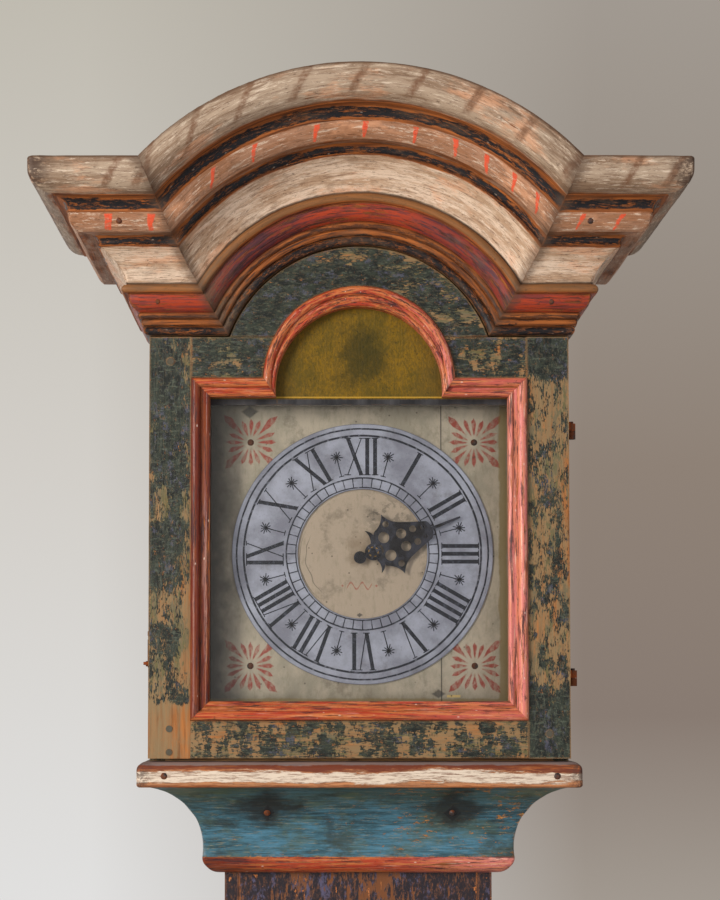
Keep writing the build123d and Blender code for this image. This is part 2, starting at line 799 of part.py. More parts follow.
hook_rivet += Pos(hook_out - fit_gap - 0.75, hook_y, hook_z) * Rot(0, 90, 0) * Cylinder(2.6, 1.5)
stud = Pos(hook_x - 2.5, stud_y, hook_z) * Rot(0, 90, 0) * Cylinder(hook_pin, 5.0)
save("door_ironwork", *moving_leaves, stud)
save("case_ironwork", *fixed_leaves, hook_rivet, button_screw)

# ---- Dial ----
plank_half = side_inner - fit_gap
plank_low = floor_high + fit_gap
dial_top = hood_bottom + dial_rise
left_plank = block(-plank_half, dial_joint, dial_front, dial_back, plank_low, dial_top)
right_plank = block(dial_joint, plank_half, dial_front, dial_back, plank_low, dial_top)
left_plank -= lying(arbor_x, arbor_z, dial_front, dial_back, pipe_radius + 1.5)
batten_low = ring_z - flower_reach
batten_high = ring_z + flower_reach
battens = []
for batten_z in (batten_low, batten_high):
    battens.append(
        block(
            -side_inner, side_inner, dial_back, dial_back + batten_thickness,
            batten_z - batten_height / 2, batten_z + batten_height / 2,
        )
    )
save("dial_board", left_plank, right_plank, *battens)
ring_face = disc(ring_centre_x, ring_z, ring_outer_radius) - disc(ring_centre_x, ring_z, ring_inner_radius)
save("chapter_ring", plate(ring_face, dial_front - ring_thickness, dial_front))

# ---- Hour hand: a pierced, eared heart with a slim pointer, two thorns and a round tail ----
hand_front = dial_front - ring_thickness - hand_clearance


def hand_outline():
    """The hand, pointing along +X from its boss at the origin."""
    heart = outline_face(
        lambda x, y: (x, y, 0),
        (10, 3),
        ((5.0, 10), (8.5, 18)),
        ((15, 22), (20.5, 31)),
        ((25.5, 23), (34, 17.5)),
        ((46, 13), (58, 9)),
        ((60.5, 5), (61, 1.5)),
        (61, -1.5),
        ((60.5, -5), (58, -9)),
        ((46, -13), (34, -17.5)),
        ((25.5, -23), (20.5, -31)),
        ((15, -22), (8.5, -18)),
        ((5.0, -10), (10, -3)),
    )
    shape = Sketch() + heart
    holes = ((14.4, 9.2, 5.4), (31.5, 6.6, 4.9), (21.0, 20.4, 3.0), (43.5, 6.6, 3.3), (53.0, 4.6, 2.2))
    for sign in (1, -1):
        for x, y, radius in holes:
            shape -= Pos(x, sign * y) * Circle(radius)
        thorn = outline_face(
            lambda x, y: (x, sign * y, 0), (-1, 6), ((1.8, 13), (-0.4, 22)), ((5.2, 17), (6.5, 10)), (7, 3)
        )
        shape += thorn
    shape += Circle(8.2)
    shape += Polygon((54, -1.9), (hand_length, -0.9), (hand_length, 0.9), (54, 1.9), align=None)
    shape += Pos(-9, 0) * Rectangle(8, 5)
    shape += Pos(-14, 0) * Circle(6.0)
    return shape


hand_face = Pos(arbor_x, arbor_z) * Rot(0, 0, hand_angle) * hand_outline()
hand = plate(hand_face, hand_front, hand_front + hand_thickness)
hand += lying(arbor_x, arbor_z, hand_front - 1.0, hand_front + hand_thickness, 7.0)
pipe_front = hand_front - 2.5
hand -= lying(arbor_x, arbor_z, hand_front - 5, hand_front + 5, pipe_radius + running_gap)
save("hour_hand", hand)

# ---- Movement: plates, pillars, dial post, bell bar and pendulum cock ----
plates_left = strike_x - 46.0
plates_right = arbor_x + 48.0
plates_top = pallet_z + 20.0
hammer_x = strike_x - 30.0
hammer_z = pallet_z - 10.0
plate_face = patch(
    (plates_left, seat_top), (plates_right, seat_top), (plates_right, plates_top), (plates_left, plates_top)
)
pivots = [
    (arbor_x, great_z), (arbor_x, second_z), (arbor_x, escape_z), (arbor_x, pallet_z),
    (strike_x, great_z), (hammer_x, hammer_z),
]
for pivot_x, pivot_z in pivots:
    plate_face -= disc(pivot_x, pivot_z, pivot_radius + running_gap)
frame_front = plate(plate_face, front_plate, front_plate + plate_thickness)
frame_back = plate(plate_face - disc(arbor_x, pallet_z, arbor_radius + running_gap), back_plate, train_end)
pillar_inset = 8.0
pillars = []
for pillar_x in (plates_left + pillar_inset, plates_right - pillar_inset):
    for pillar_z in (seat_top + pillar_inset, plates_top - pillar_inset):
        pillars.append(lying(pillar_x, pillar_z, front_plate + plate_thickness, back_plate, 4.5))
post_front = pipe_front - 0.5
post = lying(arbor_x, arbor_z, post_front, front_plate, post_radius)
cock_end = pendulum_y + 7.0
cock = block(arbor_x - 8, arbor_x + 8, train_end, cock_end, pallet_z + 8, pallet_z + 14)
cock += block(arbor_x - 8, arbor_x + 8, cock_end - 3, cock_end, pallet_z - 5, pallet_z + 14)
stud_radius = 2.0
cock += lying(arbor_x, pallet_z, pendulum_y - 4, cock_end - 3, stud_radius)
save("movement_frame", frame_front, frame_back, *pillars, post, cock)

seat_half = trunk_half
line_place = arbor_x + pulley_radius
strike_line = strike_x + pulley_radius
seat = block(-seat_half, seat_half, front_plate, pendulum_y - 14.0, seat_bottom, seat_top)
for hole_x in (line_place, strike_line):
    seat -= standing(hole_x, line_y, seat_bottom, seat_top, 9.0)
save("seat_board", seat)

# ---- Going train ----
great_front = front_plate + 11.5
pulley_low = line_y - 6.0
pulley_high = line_y + 6.0


def great_arbor(x, front, turn):
    """A driving wheel with its rope pulley, on one arbor."""
    wheel = toothed(x, great_z, great_front, great_front + 3, great_teeth, great_module, turn)
    for opening in crossed_out(x, great_z, great_front, great_front + 3, 27.0, 8.0, 4):
        wheel -= opening
    axle = arbor(x, great_z, front, train_end - 0.5)
    groove = lying(x, great_z, pulley_low, pulley_high, pulley_radius - line_radius - fit_gap)
    cheeks = lying(x, great_z, pulley_low, pulley_low + 2, pulley_radius + 4)
    cheeks += lying(x, great_z, pulley_high - 2, pulley_high, pulley_radius + 4)
    return wheel + axle + groove + cheeks


great_nose = dial_back + 3.5
great = great_arbor(arbor_x, great_nose, 90.0)
motion_pinion_turn = 90.0
pinion_end = great_nose + 6.5
great += toothed(
    arbor_x, great_z, great_nose, pinion_end, motion_pinion_teeth, motion_module, motion_pinion_turn, True
)
save("great_wheel", great)

great_pinion_step = 360 / great_pinion_teeth
second = arbor(arbor_x, second_z, front_plate + 0.5, train_end - 0.5)
second += toothed(
    arbor_x, second_z, great_front - 3, great_front + 6, great_pinion_teeth, great_module,
    270.0 + great_pinion_step / 2, True,
)
second_front = great_front + 16
second_rear = second_front + 2.5
second_wheel = toothed(arbor_x, second_z, second_front, second_rear, second_teeth, second_module, 90.0)
for opening in crossed_out(arbor_x, second_z, second_front, second_rear, 21.5, 7.0, 4):
    second_wheel -= opening
save("second_wheel", second + second_wheel)

second_pinion_step = 360 / second_pinion_teeth
escape_front = second_front + 10
escape = arbor(arbor_x, escape_z, front_plate + 0.5, train_end - 0.5)
escape += toothed(
    arbor_x, escape_z, second_front - 2, second_front + 5, second_pinion_teeth, second_module,
    270.0 + second_pinion_step / 2, True,
)
escape_corners = []
escape_root = escape_radius - 5
for index in range(escape_teeth):
    tip_angle = 2 * math.pi * index / escape_teeth
    root_angle = 2 * math.pi * (index + 0.42) / escape_teeth
    escape_corners.append((escape_radius * math.cos(tip_angle), escape_radius * math.sin(tip_angle)))
    escape_corners.append((escape_root * math.cos(root_angle), escape_root * math.sin(root_angle)))
escape_face = Pos(arbor_x, escape_z) * Polygon(*escape_corners, align=None)
escape_disc = plate(escape_face, escape_front, escape_front + 2)
for opening in crossed_out(arbor_x, escape_z, escape_front, escape_front + 2, 12.0, 5.0, 4):
    escape_disc -= opening
save("escape_wheel", escape + escape_disc)

# ---- Pallets, crutch and pendulum ----
pallet_inner = escape_radius + 1.8
anchor_face = disc(arbor_x, escape_z, pallet_inner + 4) - disc(arbor_x, escape_z, pallet_inner)
anchor_face &= Pos(arbor_x, escape_z) * patch((0, 0), (-40, 34), (-40, 60), (40, 60), (40, 34))
anchor_face += disc(arbor_x, pallet_z, 6.0)
pallets = plate(anchor_face, escape_front - 0.5, escape_front + 2.5)
pallets += lying(arbor_x, pallet_z, front_plate + plate_thickness + fit_gap, train_end + 10, arbor_radius)
pallets += lying(arbor_x, pallet_z, front_plate + 0.5, front_plate + 10, pivot_radius)
crutch_y = train_end + 6.5
crutch_drop = 75.0
pallets += block(arbor_x - 2.5, arbor_x + 2.5, crutch_y, crutch_y + 3, pallet_z - crutch_drop, pallet_z)
fork_gap = rod_radius + fit_gap
for sign in (1, -1):
    tine_in = arbor_x + sign * fork_gap
    tine_out = arbor_x + sign * (fork_gap + 2)
    pallets += block(
        min(tine_in, tine_out), max(tine_in, tine_out), crutch_y, pendulum_y + 5,
        pallet_z - crutch_drop, pallet_z - crutch_drop + 3,
    )
pallets += block(
    arbor_x - fork_gap - 2, arbor_x + fork_gap + 2, crutch_y, crutch_y + 3,
    pallet_z - crutch_drop, pallet_z - crutch_drop + 3,
)
save("pallets", pallets)

bob_z = pallet_z - pendulum_length
eye_radius = 5.0
rod = standing(arbor_x, pendulum_y, bob_z - bob_radius - 26, pallet_z - 3.5, rod_radius)
rod += lying(arbor_x, pallet_z, pendulum_y - 3, pendulum_y + 3, eye_radius)
rod -= lying(arbor_x, pallet_z, pendulum_y - 5, pendulum_y + 5, stud_radius + running_gap)
save("pendulum_rod", rod)
bob_edge = 3.0
bob_bulge = bob_thickness / 2 - bob_edge
ball_radius = (bob_radius**2 + bob_bulge**2) / (2 * bob_bulge)
ball_shift = ball_radius - bob_thickness / 2
bob = lying(arbor_x, bob_z, pendulum_y - bob_thickness, pendulum_y + bob_thickness, bob_radius)
for shift in (-ball_shift, ball_shift):
    bob &= Pos(arbor_x, pendulum_y + shift, bob_z) * Sphere(ball_radius)
rod_bore = standing(arbor_x, pendulum_y, 0, pallet_z, rod_radius + running_gap)
bob -= rod_bore
nut = standing(arbor_x, pendulum_y, bob_z - bob_radius - 12, bob_z - bob_radius, 8.0)
nut -= rod_bore
save("pendulum_bob", bob, nut)

# ---- Motion work ----
motion_front = dial_back + 6.0
hour_wheel = toothed(
    arbor_x, arbor_z, motion_front, motion_front + 2, motion_teeth, motion_module,
    270.0 + 180 / motion_teeth,
)
hour_wheel += lying(arbor_x, arbor_z, pipe_front, motion_front, pipe_radius)
hour_wheel -= lying(arbor_x, arbor_z, pipe_front - 5, front_plate, post_radius + running_gap)
save("hour_wheel", hour_wheel)

# ---- Strike: pin wheel, hammer and bell ----
strike = great_arbor(strike_x, front_plate + 0.5, 90.0)
pin_circle = 30.0
for index in range(8):
    pin_angle = math.radians(45 * index + 22.5)
    strike += lying(
        strike_x + pin_circle * math.cos(pin_angle), great_z + pin_circle * math.sin(pin_angle),
        great_front, great_front + 9, 1.5,
    )
save("strike_wheel", strike)

bell_x = strike_x + 45.0
bell_y = dial_back + batten_thickness + bell_radius + 3.0
bell_z = plates_top + 26.0
hammer = arbor(hammer_x, hammer_z, front_plate + 0.5, train_end - 0.5)
head_x = bell_x - bell_radius - 9.0
head_z = bell_z + 5.0
hammer += bar_between((hammer_x, bell_y, hammer_z), (head_x, bell_y, head_z), 1.5)
hammer += Pos(head_x, bell_y, head_z) * Rot(0, 90, 0) * Cylinder(5.0, 12.0)
tail_y = great_front + 6
hammer += bar_between((hammer_x, tail_y, hammer_z), (hammer_x + 12, tail_y, hammer_z - 34), 1.5)
save("hammer", hammer)

dome_height = 34.0
stand_radius = 3.0
dome_centre = (dome_height**2 - bell_radius**2) / (2 * dome_height)
outer_dome = dome_height - dome_centre
inner_dome = outer_dome - bell_thickness
lip_inner = math.sqrt(inner_dome**2 - dome_centre**2)
half_way = math.sqrt(0.5)
bell_section = outline_face(
    lambda out, z: (bell_x + out, bell_y, bell_z + z),
    (bell_radius, 0),
    ((outer_dome * half_way, dome_centre + outer_dome * half_way), (0, dome_height)),
    (0, dome_height - bell_thickness),
    ((inner_dome * half_way, dome_centre + inner_dome * half_way), (lip_inner, 0)),
)
bell = revolve(bell_section, axis=Axis((bell_x, bell_y, 0), (0, 0, 1)), revolution_arc=360)
bell -= standing(bell_x, bell_y, bell_z, bell_z + 2 * dome_height, stand_radius)
stand = block(bell_x - 6, bell_x + 6, front_plate, train_end, plates_top, plates_top + 6)
stand += standing(bell_x, bell_y, plates_top + 5, bell_z + dome_height + 8, stand_radius)
bell_nut = standing(bell_x, bell_y, bell_z + dome_height, bell_z + dome_height + 6, 6.0)
bell_nut -= standing(bell_x, bell_y, bell_z, bell_z + 3 * dome_height, stand_radius)
save("bell", bell, stand, bell_nut)

# ---- Weights and their lines ----
weight_low = base_top + weight_rise
weight_top = weight_low + weight_height
for name, place_x in (("going", line_place), ("strike", strike_line)):
    weight = standing(place_x, line_y, weight_low, weight_top, weight_radius)
    weight += standing(place_x, line_y, weight_top, weight_top + 16, 4.0)
    save(f"{name}_weight", weight)
    save(f"{name}_line", standing(place_x, line_y, weight_top + 16, great_z, line_radius))

# ---- Nail heads in the mouldings and the dial ----
nail_radius = 3.2
nail_height = 1.6


def nail(x, front, z, tilt):
    """A forged nail: a low domed head and a short shank. tilt leans its axis down from level."""
    head = Cone(nail_radius, nail_radius * 0.5, nail_height, align=(Align.CENTER, Align.CENTER, Align.MIN))
    shank = Cylinder(1.2, 8, align=(Align.CENTER, Align.CENTER, Align.MAX))
    return Pos(x, front, z) * Rot(90 + tilt, 0, 0) * (head + shank)


cove_nail_share = 0.62
cove_nail_z = hood_bottom - torus_height - cove_height * (1 - cove_nail_share)
cove_nail_in = (trunk_recess - cove_foot) * math.sqrt(1 - cove_nail_share**2)
cove_nail_y = trunk_front - trunk_recess + cove_nail_in
torus_nail_z = hood_bottom - torus_height * 0.55
torus_nail_y = trunk_front - torus_projection
nails = []
for nail_x in (-hood_half * 0.44, hood_half * 0.45):
    nails.append(nail(nail_x, cove_nail_y, cove_nail_z, 29))
for nail_x in (-hood_half * 0.92, hood_half * 0.93):
    nails.append(nail(nail_x, torus_nail_y, torus_nail_z, 0))
for nail_x in (-hood_half * 0.955, hood_half * 0.91):
    nails.append(nail(nail_x, door_front - 17.4 * section_out, cornice_bottom + 29 * section_up, 12))
    nails.append(nail(nail_x * 1.17, door_front - 66.6 * section_out, cornice_bottom + 94 * section_up, 8))
for reach_x in (-1, 1):
    for reach_z in (-1, 1):
        flower_x = ring_centre_x + reach_x * flower_reach
        nails.append(nail(flower_x, dial_front, ring_z + reach_z * flower_reach, 0))
save("nails", *nails)

overall_width = 2 * (hood_half + cornice_projection)
overall_depth = hood_depth + cornice_projection
print("overall", overall_width, overall_depth, arch_centre + arch_top_radius)
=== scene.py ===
"""The looks of a folk-painted longcase clock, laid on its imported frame.

Every length is in metres, X to the right, Y to the back and Z up, as in the frame. The finishes are
layers of old paint over pine: each is a small class that lays its coats on one Finish.
"""

import json
import logging
import math
from dataclasses import dataclass
from enum import Enum
from statistics import NormalDist
from typing import Any, Callable

import bpy
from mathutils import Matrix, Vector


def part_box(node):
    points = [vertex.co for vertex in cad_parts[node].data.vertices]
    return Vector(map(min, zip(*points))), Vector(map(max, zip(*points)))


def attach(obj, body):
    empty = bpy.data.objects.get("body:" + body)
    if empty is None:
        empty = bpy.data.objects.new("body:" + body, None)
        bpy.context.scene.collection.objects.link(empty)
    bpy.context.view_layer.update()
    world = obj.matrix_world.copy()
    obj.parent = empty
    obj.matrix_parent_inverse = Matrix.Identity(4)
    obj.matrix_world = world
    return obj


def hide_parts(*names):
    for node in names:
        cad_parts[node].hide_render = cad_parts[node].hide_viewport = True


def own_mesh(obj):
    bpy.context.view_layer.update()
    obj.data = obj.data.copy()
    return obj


Colour = tuple[int, int, int]
Point = tuple[float, float, float]
Piece = bpy.types.Object
Material = bpy.types.Material

LOG = logging.getLogger("clock")
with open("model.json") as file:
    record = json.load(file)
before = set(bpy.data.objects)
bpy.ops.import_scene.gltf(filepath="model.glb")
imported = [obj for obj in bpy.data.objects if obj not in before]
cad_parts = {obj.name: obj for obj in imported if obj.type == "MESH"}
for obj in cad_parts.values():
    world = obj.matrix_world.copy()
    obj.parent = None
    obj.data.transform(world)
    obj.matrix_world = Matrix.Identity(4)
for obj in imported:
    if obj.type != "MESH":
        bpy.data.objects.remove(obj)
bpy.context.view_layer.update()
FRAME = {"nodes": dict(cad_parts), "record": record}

# How noise values spread about their middle, which turns a share of the surface into a threshold.
NOISE_SPREAD = NormalDist(0.5, 0.078)
# How far one step of a material's seed, and of a layer's own seed, moves a pattern.
PIECE_SHIFT = 0.37
LAYER_SHIFT = 1.73
# The radius at which lengths along the arch are taken.
ARCH_REACH = 0.22


class Run(Enum):
    """The way that the grain and the brush marks run on a piece."""

    ACROSS = "x"
    DEEP = "y"
    UPRIGHT = "z"
    ARCHED = "arch"
    FRAMED = "frame"


@dataclass(frozen=True)
class Cornice:
    """Where the bands of the cornice start and end, as heights above its lower edge."""

    bottom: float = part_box("cornice_fronts")[0].z
    arch_centre: float = 1.8756
    arch_radius: float = 0.1326
    bead: float = 0.0082
    reeds: float = 0.0199
    red_top: float = 0.0367
    fillet_top: float = 0.0459
    cove_top: float = 0.0760
    hollow_top: float = 0.0867
    fascia_top: float = 0.1031
    scotia_top: float = 0.1169
    top: float = 0.1490


CORNICE = Cornice()


def linear(colour: Colour) -> tuple[float, float, float, float]:
    """A colour as it is seen, in steps of 255, as the renderer's linear colour."""

    def step(value: float) -> float:
        """One channel from 0 to 1, made linear."""
        return value / 12.92 if value <= 0.04045 else ((value + 0.055) / 1.055) ** 2.4

    red, green, blue = (step(value / 255) for value in colour)
    return red, green, blue, 1.0


@dataclass(frozen=True)
class Socket:
    """A number that the surface gives at each point, written in sums as a plain number is."""

    graph: "Graph"
    output: bpy.types.NodeSocket

    def sum(self, operation: str, *others: "Socket | float") -> "Socket":
        """This number and others through one Math node.

        Args:
            operation: the Math node's operation.
            others: the numbers that follow this one.

        Returns:
            The node's result.
        """
        sockets = dict(enumerate((self, *others)))
        return self.graph.node("ShaderNodeMath", {"operation": operation}, sockets)

    def __add__(self, other: "Socket | float") -> "Socket":
        """This number plus another."""
        return self.sum("ADD", other)

    __radd__ = __add__

    def __mul__(self, other: "Socket | float") -> "Socket":
        """This number times another."""
        return self.sum("MULTIPLY", other)

    __rmul__ = __mul__

    def __sub__(self, other: "Socket | float") -> "Socket":
        """This number less another."""
        return self.sum("SUBTRACT", other)

    def __rsub__(self, other: "Socket | float") -> "Socket":
        """A number less this one."""
        return self.sum("MULTIPLY_ADD", -1.0, other)

    def __truediv__(self, other: "Socket | float") -> "Socket":
        """This number over another."""
        return self.sum("DIVIDE", other)

    def __abs__(self) -> "Socket":
        """This number without its sign."""
        return self.sum("ABSOLUTE")

    def step(self, low: float, high: float) -> "Socket":
        """A smooth step of this number.

        Args:
            low: where the step is 0; above high, the step falls.
            high: where the step is 1.

        Returns:
            A mask from 0 to 1.
        """
        rising = low < high
        sockets = {
            "Value": self,
            "From Min": min(low, high),
            "From Max": max(low, high),
            "To Min": 0.0 if rising else 1.0,
            "To Max": 1.0 if rising else 0.0,
        }
        return self.graph.node("ShaderNodeMapRange", {"interpolation_type": "SMOOTHSTEP"}, sockets)

    def band(self, low: float, high: float, soft: float) -> "Socket":
        """A mask of where this number is between two others.

        Args:
            low: the band's lower edge.
            high: its upper edge.
            soft: the width over which each edge fades.

        Returns:
            A mask from 0 to 1.
        """
        rise = self.step(low - soft / 2, low + soft / 2)
        return rise * self.step(high + soft / 2, high - soft / 2)

    def wave(self, period: float) -> "Socket":
        """How far this number is from the nearest whole period, from 0 to half a period."""
        return self.sum("PINGPONG", period / 2)

    def clipped(self) -> "Socket":
        """This number kept between 0 and 1."""
        return self.sum("MAXIMUM", 0.0).sum("MINIMUM", 1.0)


class Graph:
    """A tree of nodes as it is built up."""

    def __init__(self, tree: bpy.types.NodeTree) -> None:
        """Takes the tree that the nodes go into."""
        self.tree = tree

    def node(
        self, kind: str, settings: dict[str, Any], sockets: dict[str | int, Any], output: str | int = 0
    ) -> Socket:
        """Adds one node.

        Args:
            kind: the node's type.
            settings: its own properties, set first.
            sockets: what its inputs are given, a Socket for a link or a plain value.
            output: the output that is wanted.

        Returns:
            That output.
        """
        made = self.tree.nodes.new(kind)
        for key, value in settings.items():
            setattr(made, key, value)
        for key, value in sockets.items():
            self.give(made.inputs[key], value)
        return Socket(self, made.outputs[output])

    def give(self, socket: bpy.types.NodeSocket, value: Any) -> None:
        """Gives a socket a link or a plain value."""
        if isinstance(value, Socket):
            self.tree.links.new(value.output, socket)
        else:
            socket.default_value = value

    def ramp(self, value: Socket, stops: tuple[tuple[float, Colour], ...]) -> Socket:
        """A colour that goes from stop to stop as a number goes from 0 to 1."""
        made = self.node("ShaderNodeValToRGB", {}, {"Fac": value}, "Color")
        elements = made.output.node.color_ramp.elements
        for index, (share, tone) in enumerate(stops):
            stop = elements[index] if index < 2 else elements.new(share)
            stop.position = share
            stop.color = linear(tone)
        return made


class Finish(Graph):
    """One material as it is built up, coat over coat."""

    def __init__(self, name: str, run: Run, seed: float = 0.0, node: str = "") -> None:
        """Starts a bare material.

        Args:
            name: the material's name.
            run: the way that the grain runs.
            seed: moves every pattern, so that like pieces differ.
            node: the frame's node whose box a framed moulding's mitres start from.
        """
        self.material = bpy.data.materials.new(name)
        self.material.use_nodes = True
        super().__init__(self.material.node_tree)
        self.shader = self.tree.nodes["Principled BSDF"]
        self.run = run
        self.seed = seed
        self.place = self.node("ShaderNodeTexCoord", {}, {}, "Object")
        self.x, self.y, self.z = (
            self.node("ShaderNodeSeparateXYZ", {}, {"Vector": self.place}, axis) for axis in "XYZ"
        )
        self.radius, self.turn = self.polar(0.0, CORNICE.arch_centre)
        self.level = self.mitred(node) if run is Run.FRAMED else None
        self.colour: Socket | tuple[float, float, float, float] = linear((128, 128, 128))
        self.roughness: Socket | float = 0.6
        self.height: Socket | float = 0.0
        self.sheen = 0.28

    def polar(self, x: float, z: float) -> tuple[Socket, Socket]:
        """Distance and angle, clockwise from the top, round a point seen from the front."""
        across, rise = self.x - x, self.z - z
        distance = (across * across + rise * rise).sum("SQRT")
        return distance, across.sum("ARCTAN2", rise)

    def vector(self, x: Any, y: Any, z: Any) -> Socket:
        """Three numbers as one vector."""
        return self.node("ShaderNodeCombineXYZ", {}, {"X": x, "Y": y, "Z": z})

    def mitred(self, node: str) -> Socket:
        """1 on the level lengths of a rectangular frame, as far as their mitres."""
        low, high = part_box(node)
        above = (low.z - self.z).sum("MAXIMUM", self.z - high.z)
        return (above - (abs(self.x) - high.x)).step(0.0, 0.0002)

    def stretched(self, drag: float, run: Run | None = None) -> Socket:
        """The place on the surface, drawn out along the grain, or another way, by a factor."""
        run = run or self.run
        if run is Run.ARCHED:
            length = self.turn * (ARCH_REACH / drag)
            return self.vector(length, self.y, self.radius)
        if run is Run.FRAMED:
            ends = {4: self.stretched(drag, Run.UPRIGHT), 5: self.stretched(drag, Run.ACROSS)}
            return self.node("ShaderNodeMix", {"data_type": "VECTOR"}, {0: self.level, **ends}, 1)
        scale = tuple(1 / drag if way is run else 1.0 for way in (Run.ACROSS, Run.DEEP, Run.UPRIGHT))
        return self.node("ShaderNodeMapping", {}, {"Vector": self.place, "Scale": scale})

    def moved(self, drag: float, run: Run | None, shift: Point) -> Socket:
        """The stretched place, moved so that one pattern differs from the next."""
        sockets = {0: self.stretched(drag, run), 1: shift}
        return self.node("ShaderNodeVectorMath", {"operation": "ADD"}, sockets)

    def noise(
        self,
        size: float,
        drag: float = 1.0,
        detail: float = 5.0,
        rough: float = 0.55,
        seed: float = 0.0,
        run: Run | None = None,
    ) -> Socket:
        """Cloudy noise.

        Args:
            size: the width of its largest clouds.
            drag: how far they are drawn out along the grain.
            detail: how many finer layers it has.
            rough: how strong these are.
            seed: moves the pattern.
            run: the way that they are drawn out, where it isn't the grain's.

        Returns:
            A number around one half.
        """
        shift = self.seed * PIECE_SHIFT + seed * LAYER_SHIFT
        place = self.moved(drag, run, (shift, shift * 0.6, -shift))
        sockets = {"Vector": place, "Scale": 1 / size, "Detail": detail, "Roughness": rough}
        return self.node("ShaderNodeTexNoise", {}, sockets)

    def uneven(self, amount: float, size: float, drag: float, *rest: float) -> Socket:
        """Noise as a number around 0, an amount times what noise() makes of the other numbers."""
        return (self.noise(size, drag, *rest) - 0.5) * amount

    def cells(self, size: float, drag: float = 1.0, seed: float = 0.0) -> Socket:
        """Distance from the nearest of many scattered points, in units of their spacing."""
        place = self.moved(drag, None, (seed, 0.7 * seed, 0.4 * seed))
        return self.node("ShaderNodeTexVoronoi", {}, {"Vector": place, "Scale": 1 / size}, "Distance")

    def kept(
        self,
        share: float,
        size: float,
        drag: float = 3.0,
        worn: "Socket | float" = 0.0,
        seed: float = 0.0,
        soft: float = 0.012,
    ) -> Socket:
        """A mask of the flakes of a coat that are still there.

        Args:
            share: the share of the surface that is covered where nothing wears it more.
            size: the size of the larger flakes.
            drag: how far they are drawn out along the grain.
            worn: wears the coat more, in the units of the noise.
            seed: moves the pattern.
            soft: how softly the flakes end.

        Returns:
            1 where the coat is left.
        """
        flakes = self.noise(size, drag, 9.0, 0.68, seed) * 0.62
        fibres = self.noise(size / 9, drag * 2.2, 6.0, 0.6, seed + 3.1) * 0.38
        limit = NOISE_SPREAD.inv_cdf(share)
        return (flakes + fibres + worn).step(limit + soft, limit - soft)

    def edge(self, width: float) -> Socket:
        """A mask of the piece's sharp edges, out to about this width."""
        normals = {
            0: self.node("ShaderNodeBevel", {"samples": 4}, {"Radius": width}),
            1: self.node("ShaderNodeNewGeometry", {}, {}, "True Normal"),
        }
        dot = self.node("ShaderNodeVectorMath", {"operation": "DOT_PRODUCT"}, normals, "Value")
        return (1.0 - dot).step(0.01, 0.22)

    def mixed(self, mask: Any, below: Any, above: Any) -> Socket:
        """Two colours, the second where the mask is 1."""
        sides = {
            key: linear(colour) if isinstance(colour, tuple) and len(colour) == 3 else colour
            for key, colour in ((6, below), (7, above))
        }
        return self.node("ShaderNodeMix", {"data_type": "RGBA"}, {0: mask, **sides}, 2)

    def lay(
        self, mask: Any, colour: Any, rough: "Socket | float" = 0.5, thick: "Socket | float" = 0.0
    ) -> None:
        """Lays a coat over what is there.

        Args:
            mask: 1 where it covers.
            colour: its colour.
            rough: its roughness.
            thick: how far it stands up.
        """
        self.colour = self.mixed(mask, self.colour, colour)
        self.roughness = self.roughness * (1.0 - mask) + mask * rough
        self.height = mask * thick + self.height

    def flecks(
        self,
        colour: Colour,
        amount: float,
        cloud: tuple[Any, ...],
        ends: tuple[float, float],
        rough: float = 0.5,
        thick: float = 0.0,
        where: Socket | None = None,
    ) -> None:
        """Lays a coat where a noise is high.

        Args:
            colour: its colour.
            amount: how fully it covers there.
            cloud: what noise() is given.
            ends: the noise's values where the coat starts and where it is full.
            rough: its roughness.
            thick: how far it stands up.
            where: a mask that it keeps to.
        """
        mask = self.noise(*cloud).step(*ends)
        if where:
            mask = where * mask
        self.lay(mask * amount, colour, rough, thick)

    def wood(self, light: Colour, dark: Colour, depth: float = 0.00012) -> None:
        """Bare pine: wide growth rings, fine fibres and dark pores along the grain.

        Args:
            light: the colour of the early wood.
            dark: the colour of the late wood.
            depth: how deep the grain is.
        """
        rings = self.noise(0.016, 16.0, 2.0, 0.5, 1.0)
        fibres = self.noise(0.0024, 26.0, 4.0, 0.65, 2.0)
        ringed = (rings * 9.0).sum("FRACT").wave(1.0) * 2.0
        self.colour = self.mixed((ringed * 0.5 + fibres * 2.6 - 1.1).clipped(), light, dark)
        self.roughness = fibres * 0.25 + 0.6
        self.height = fibres * -depth + ringed * (-depth / 2)

    def done(self) -> Material:
        """Joins what was laid to the shader and hands the finished material over."""
        self.join("Base Color", self.colour)
        self.join("Roughness", self.roughness)
        self.join("Specular IOR Level", self.sheen)
        if isinstance(self.height, Socket):
            sockets = {"Strength": 1.0, "Distance": 1.0, "Height": self.height}
            self.join("Normal", self.node("ShaderNodeBump", {}, sockets, "Normal"))
        return self.material

    def join(self, name: str, value: Any) -> None:
        """Gives the shader's socket a link or a plain value."""
        self.give(self.shader.inputs[name], value)


# ---- The finishes of the case ----
@dataclass(frozen=True)
class BarePine:
    """Unpainted boards, browned by age."""

    light: Colour = (186, 140, 92)
    dark: Colour = (112, 72, 42)
    dust: Colour = (112, 96, 80)
    stain: Colour = (74, 52, 36)

    def make(self, run: Run) -> Material:
        """Makes the finish for boards whose grain runs one way."""
        finish = Finish(f"bare_pine_{run.value}", run)
        finish.wood(self.light, self.dark, 0.0002)
        finish.flecks(self.dust, 0.55, (0.12, 2.0, 6.0, 0.6, 5.0), (0.4, 0.75), 0.85)
        finish.flecks(self.stain, 0.6, (0.03, 1.5, 7.0, 0.6, 6.0), (0.6, 0.68), 0.7)
        return finish.done()


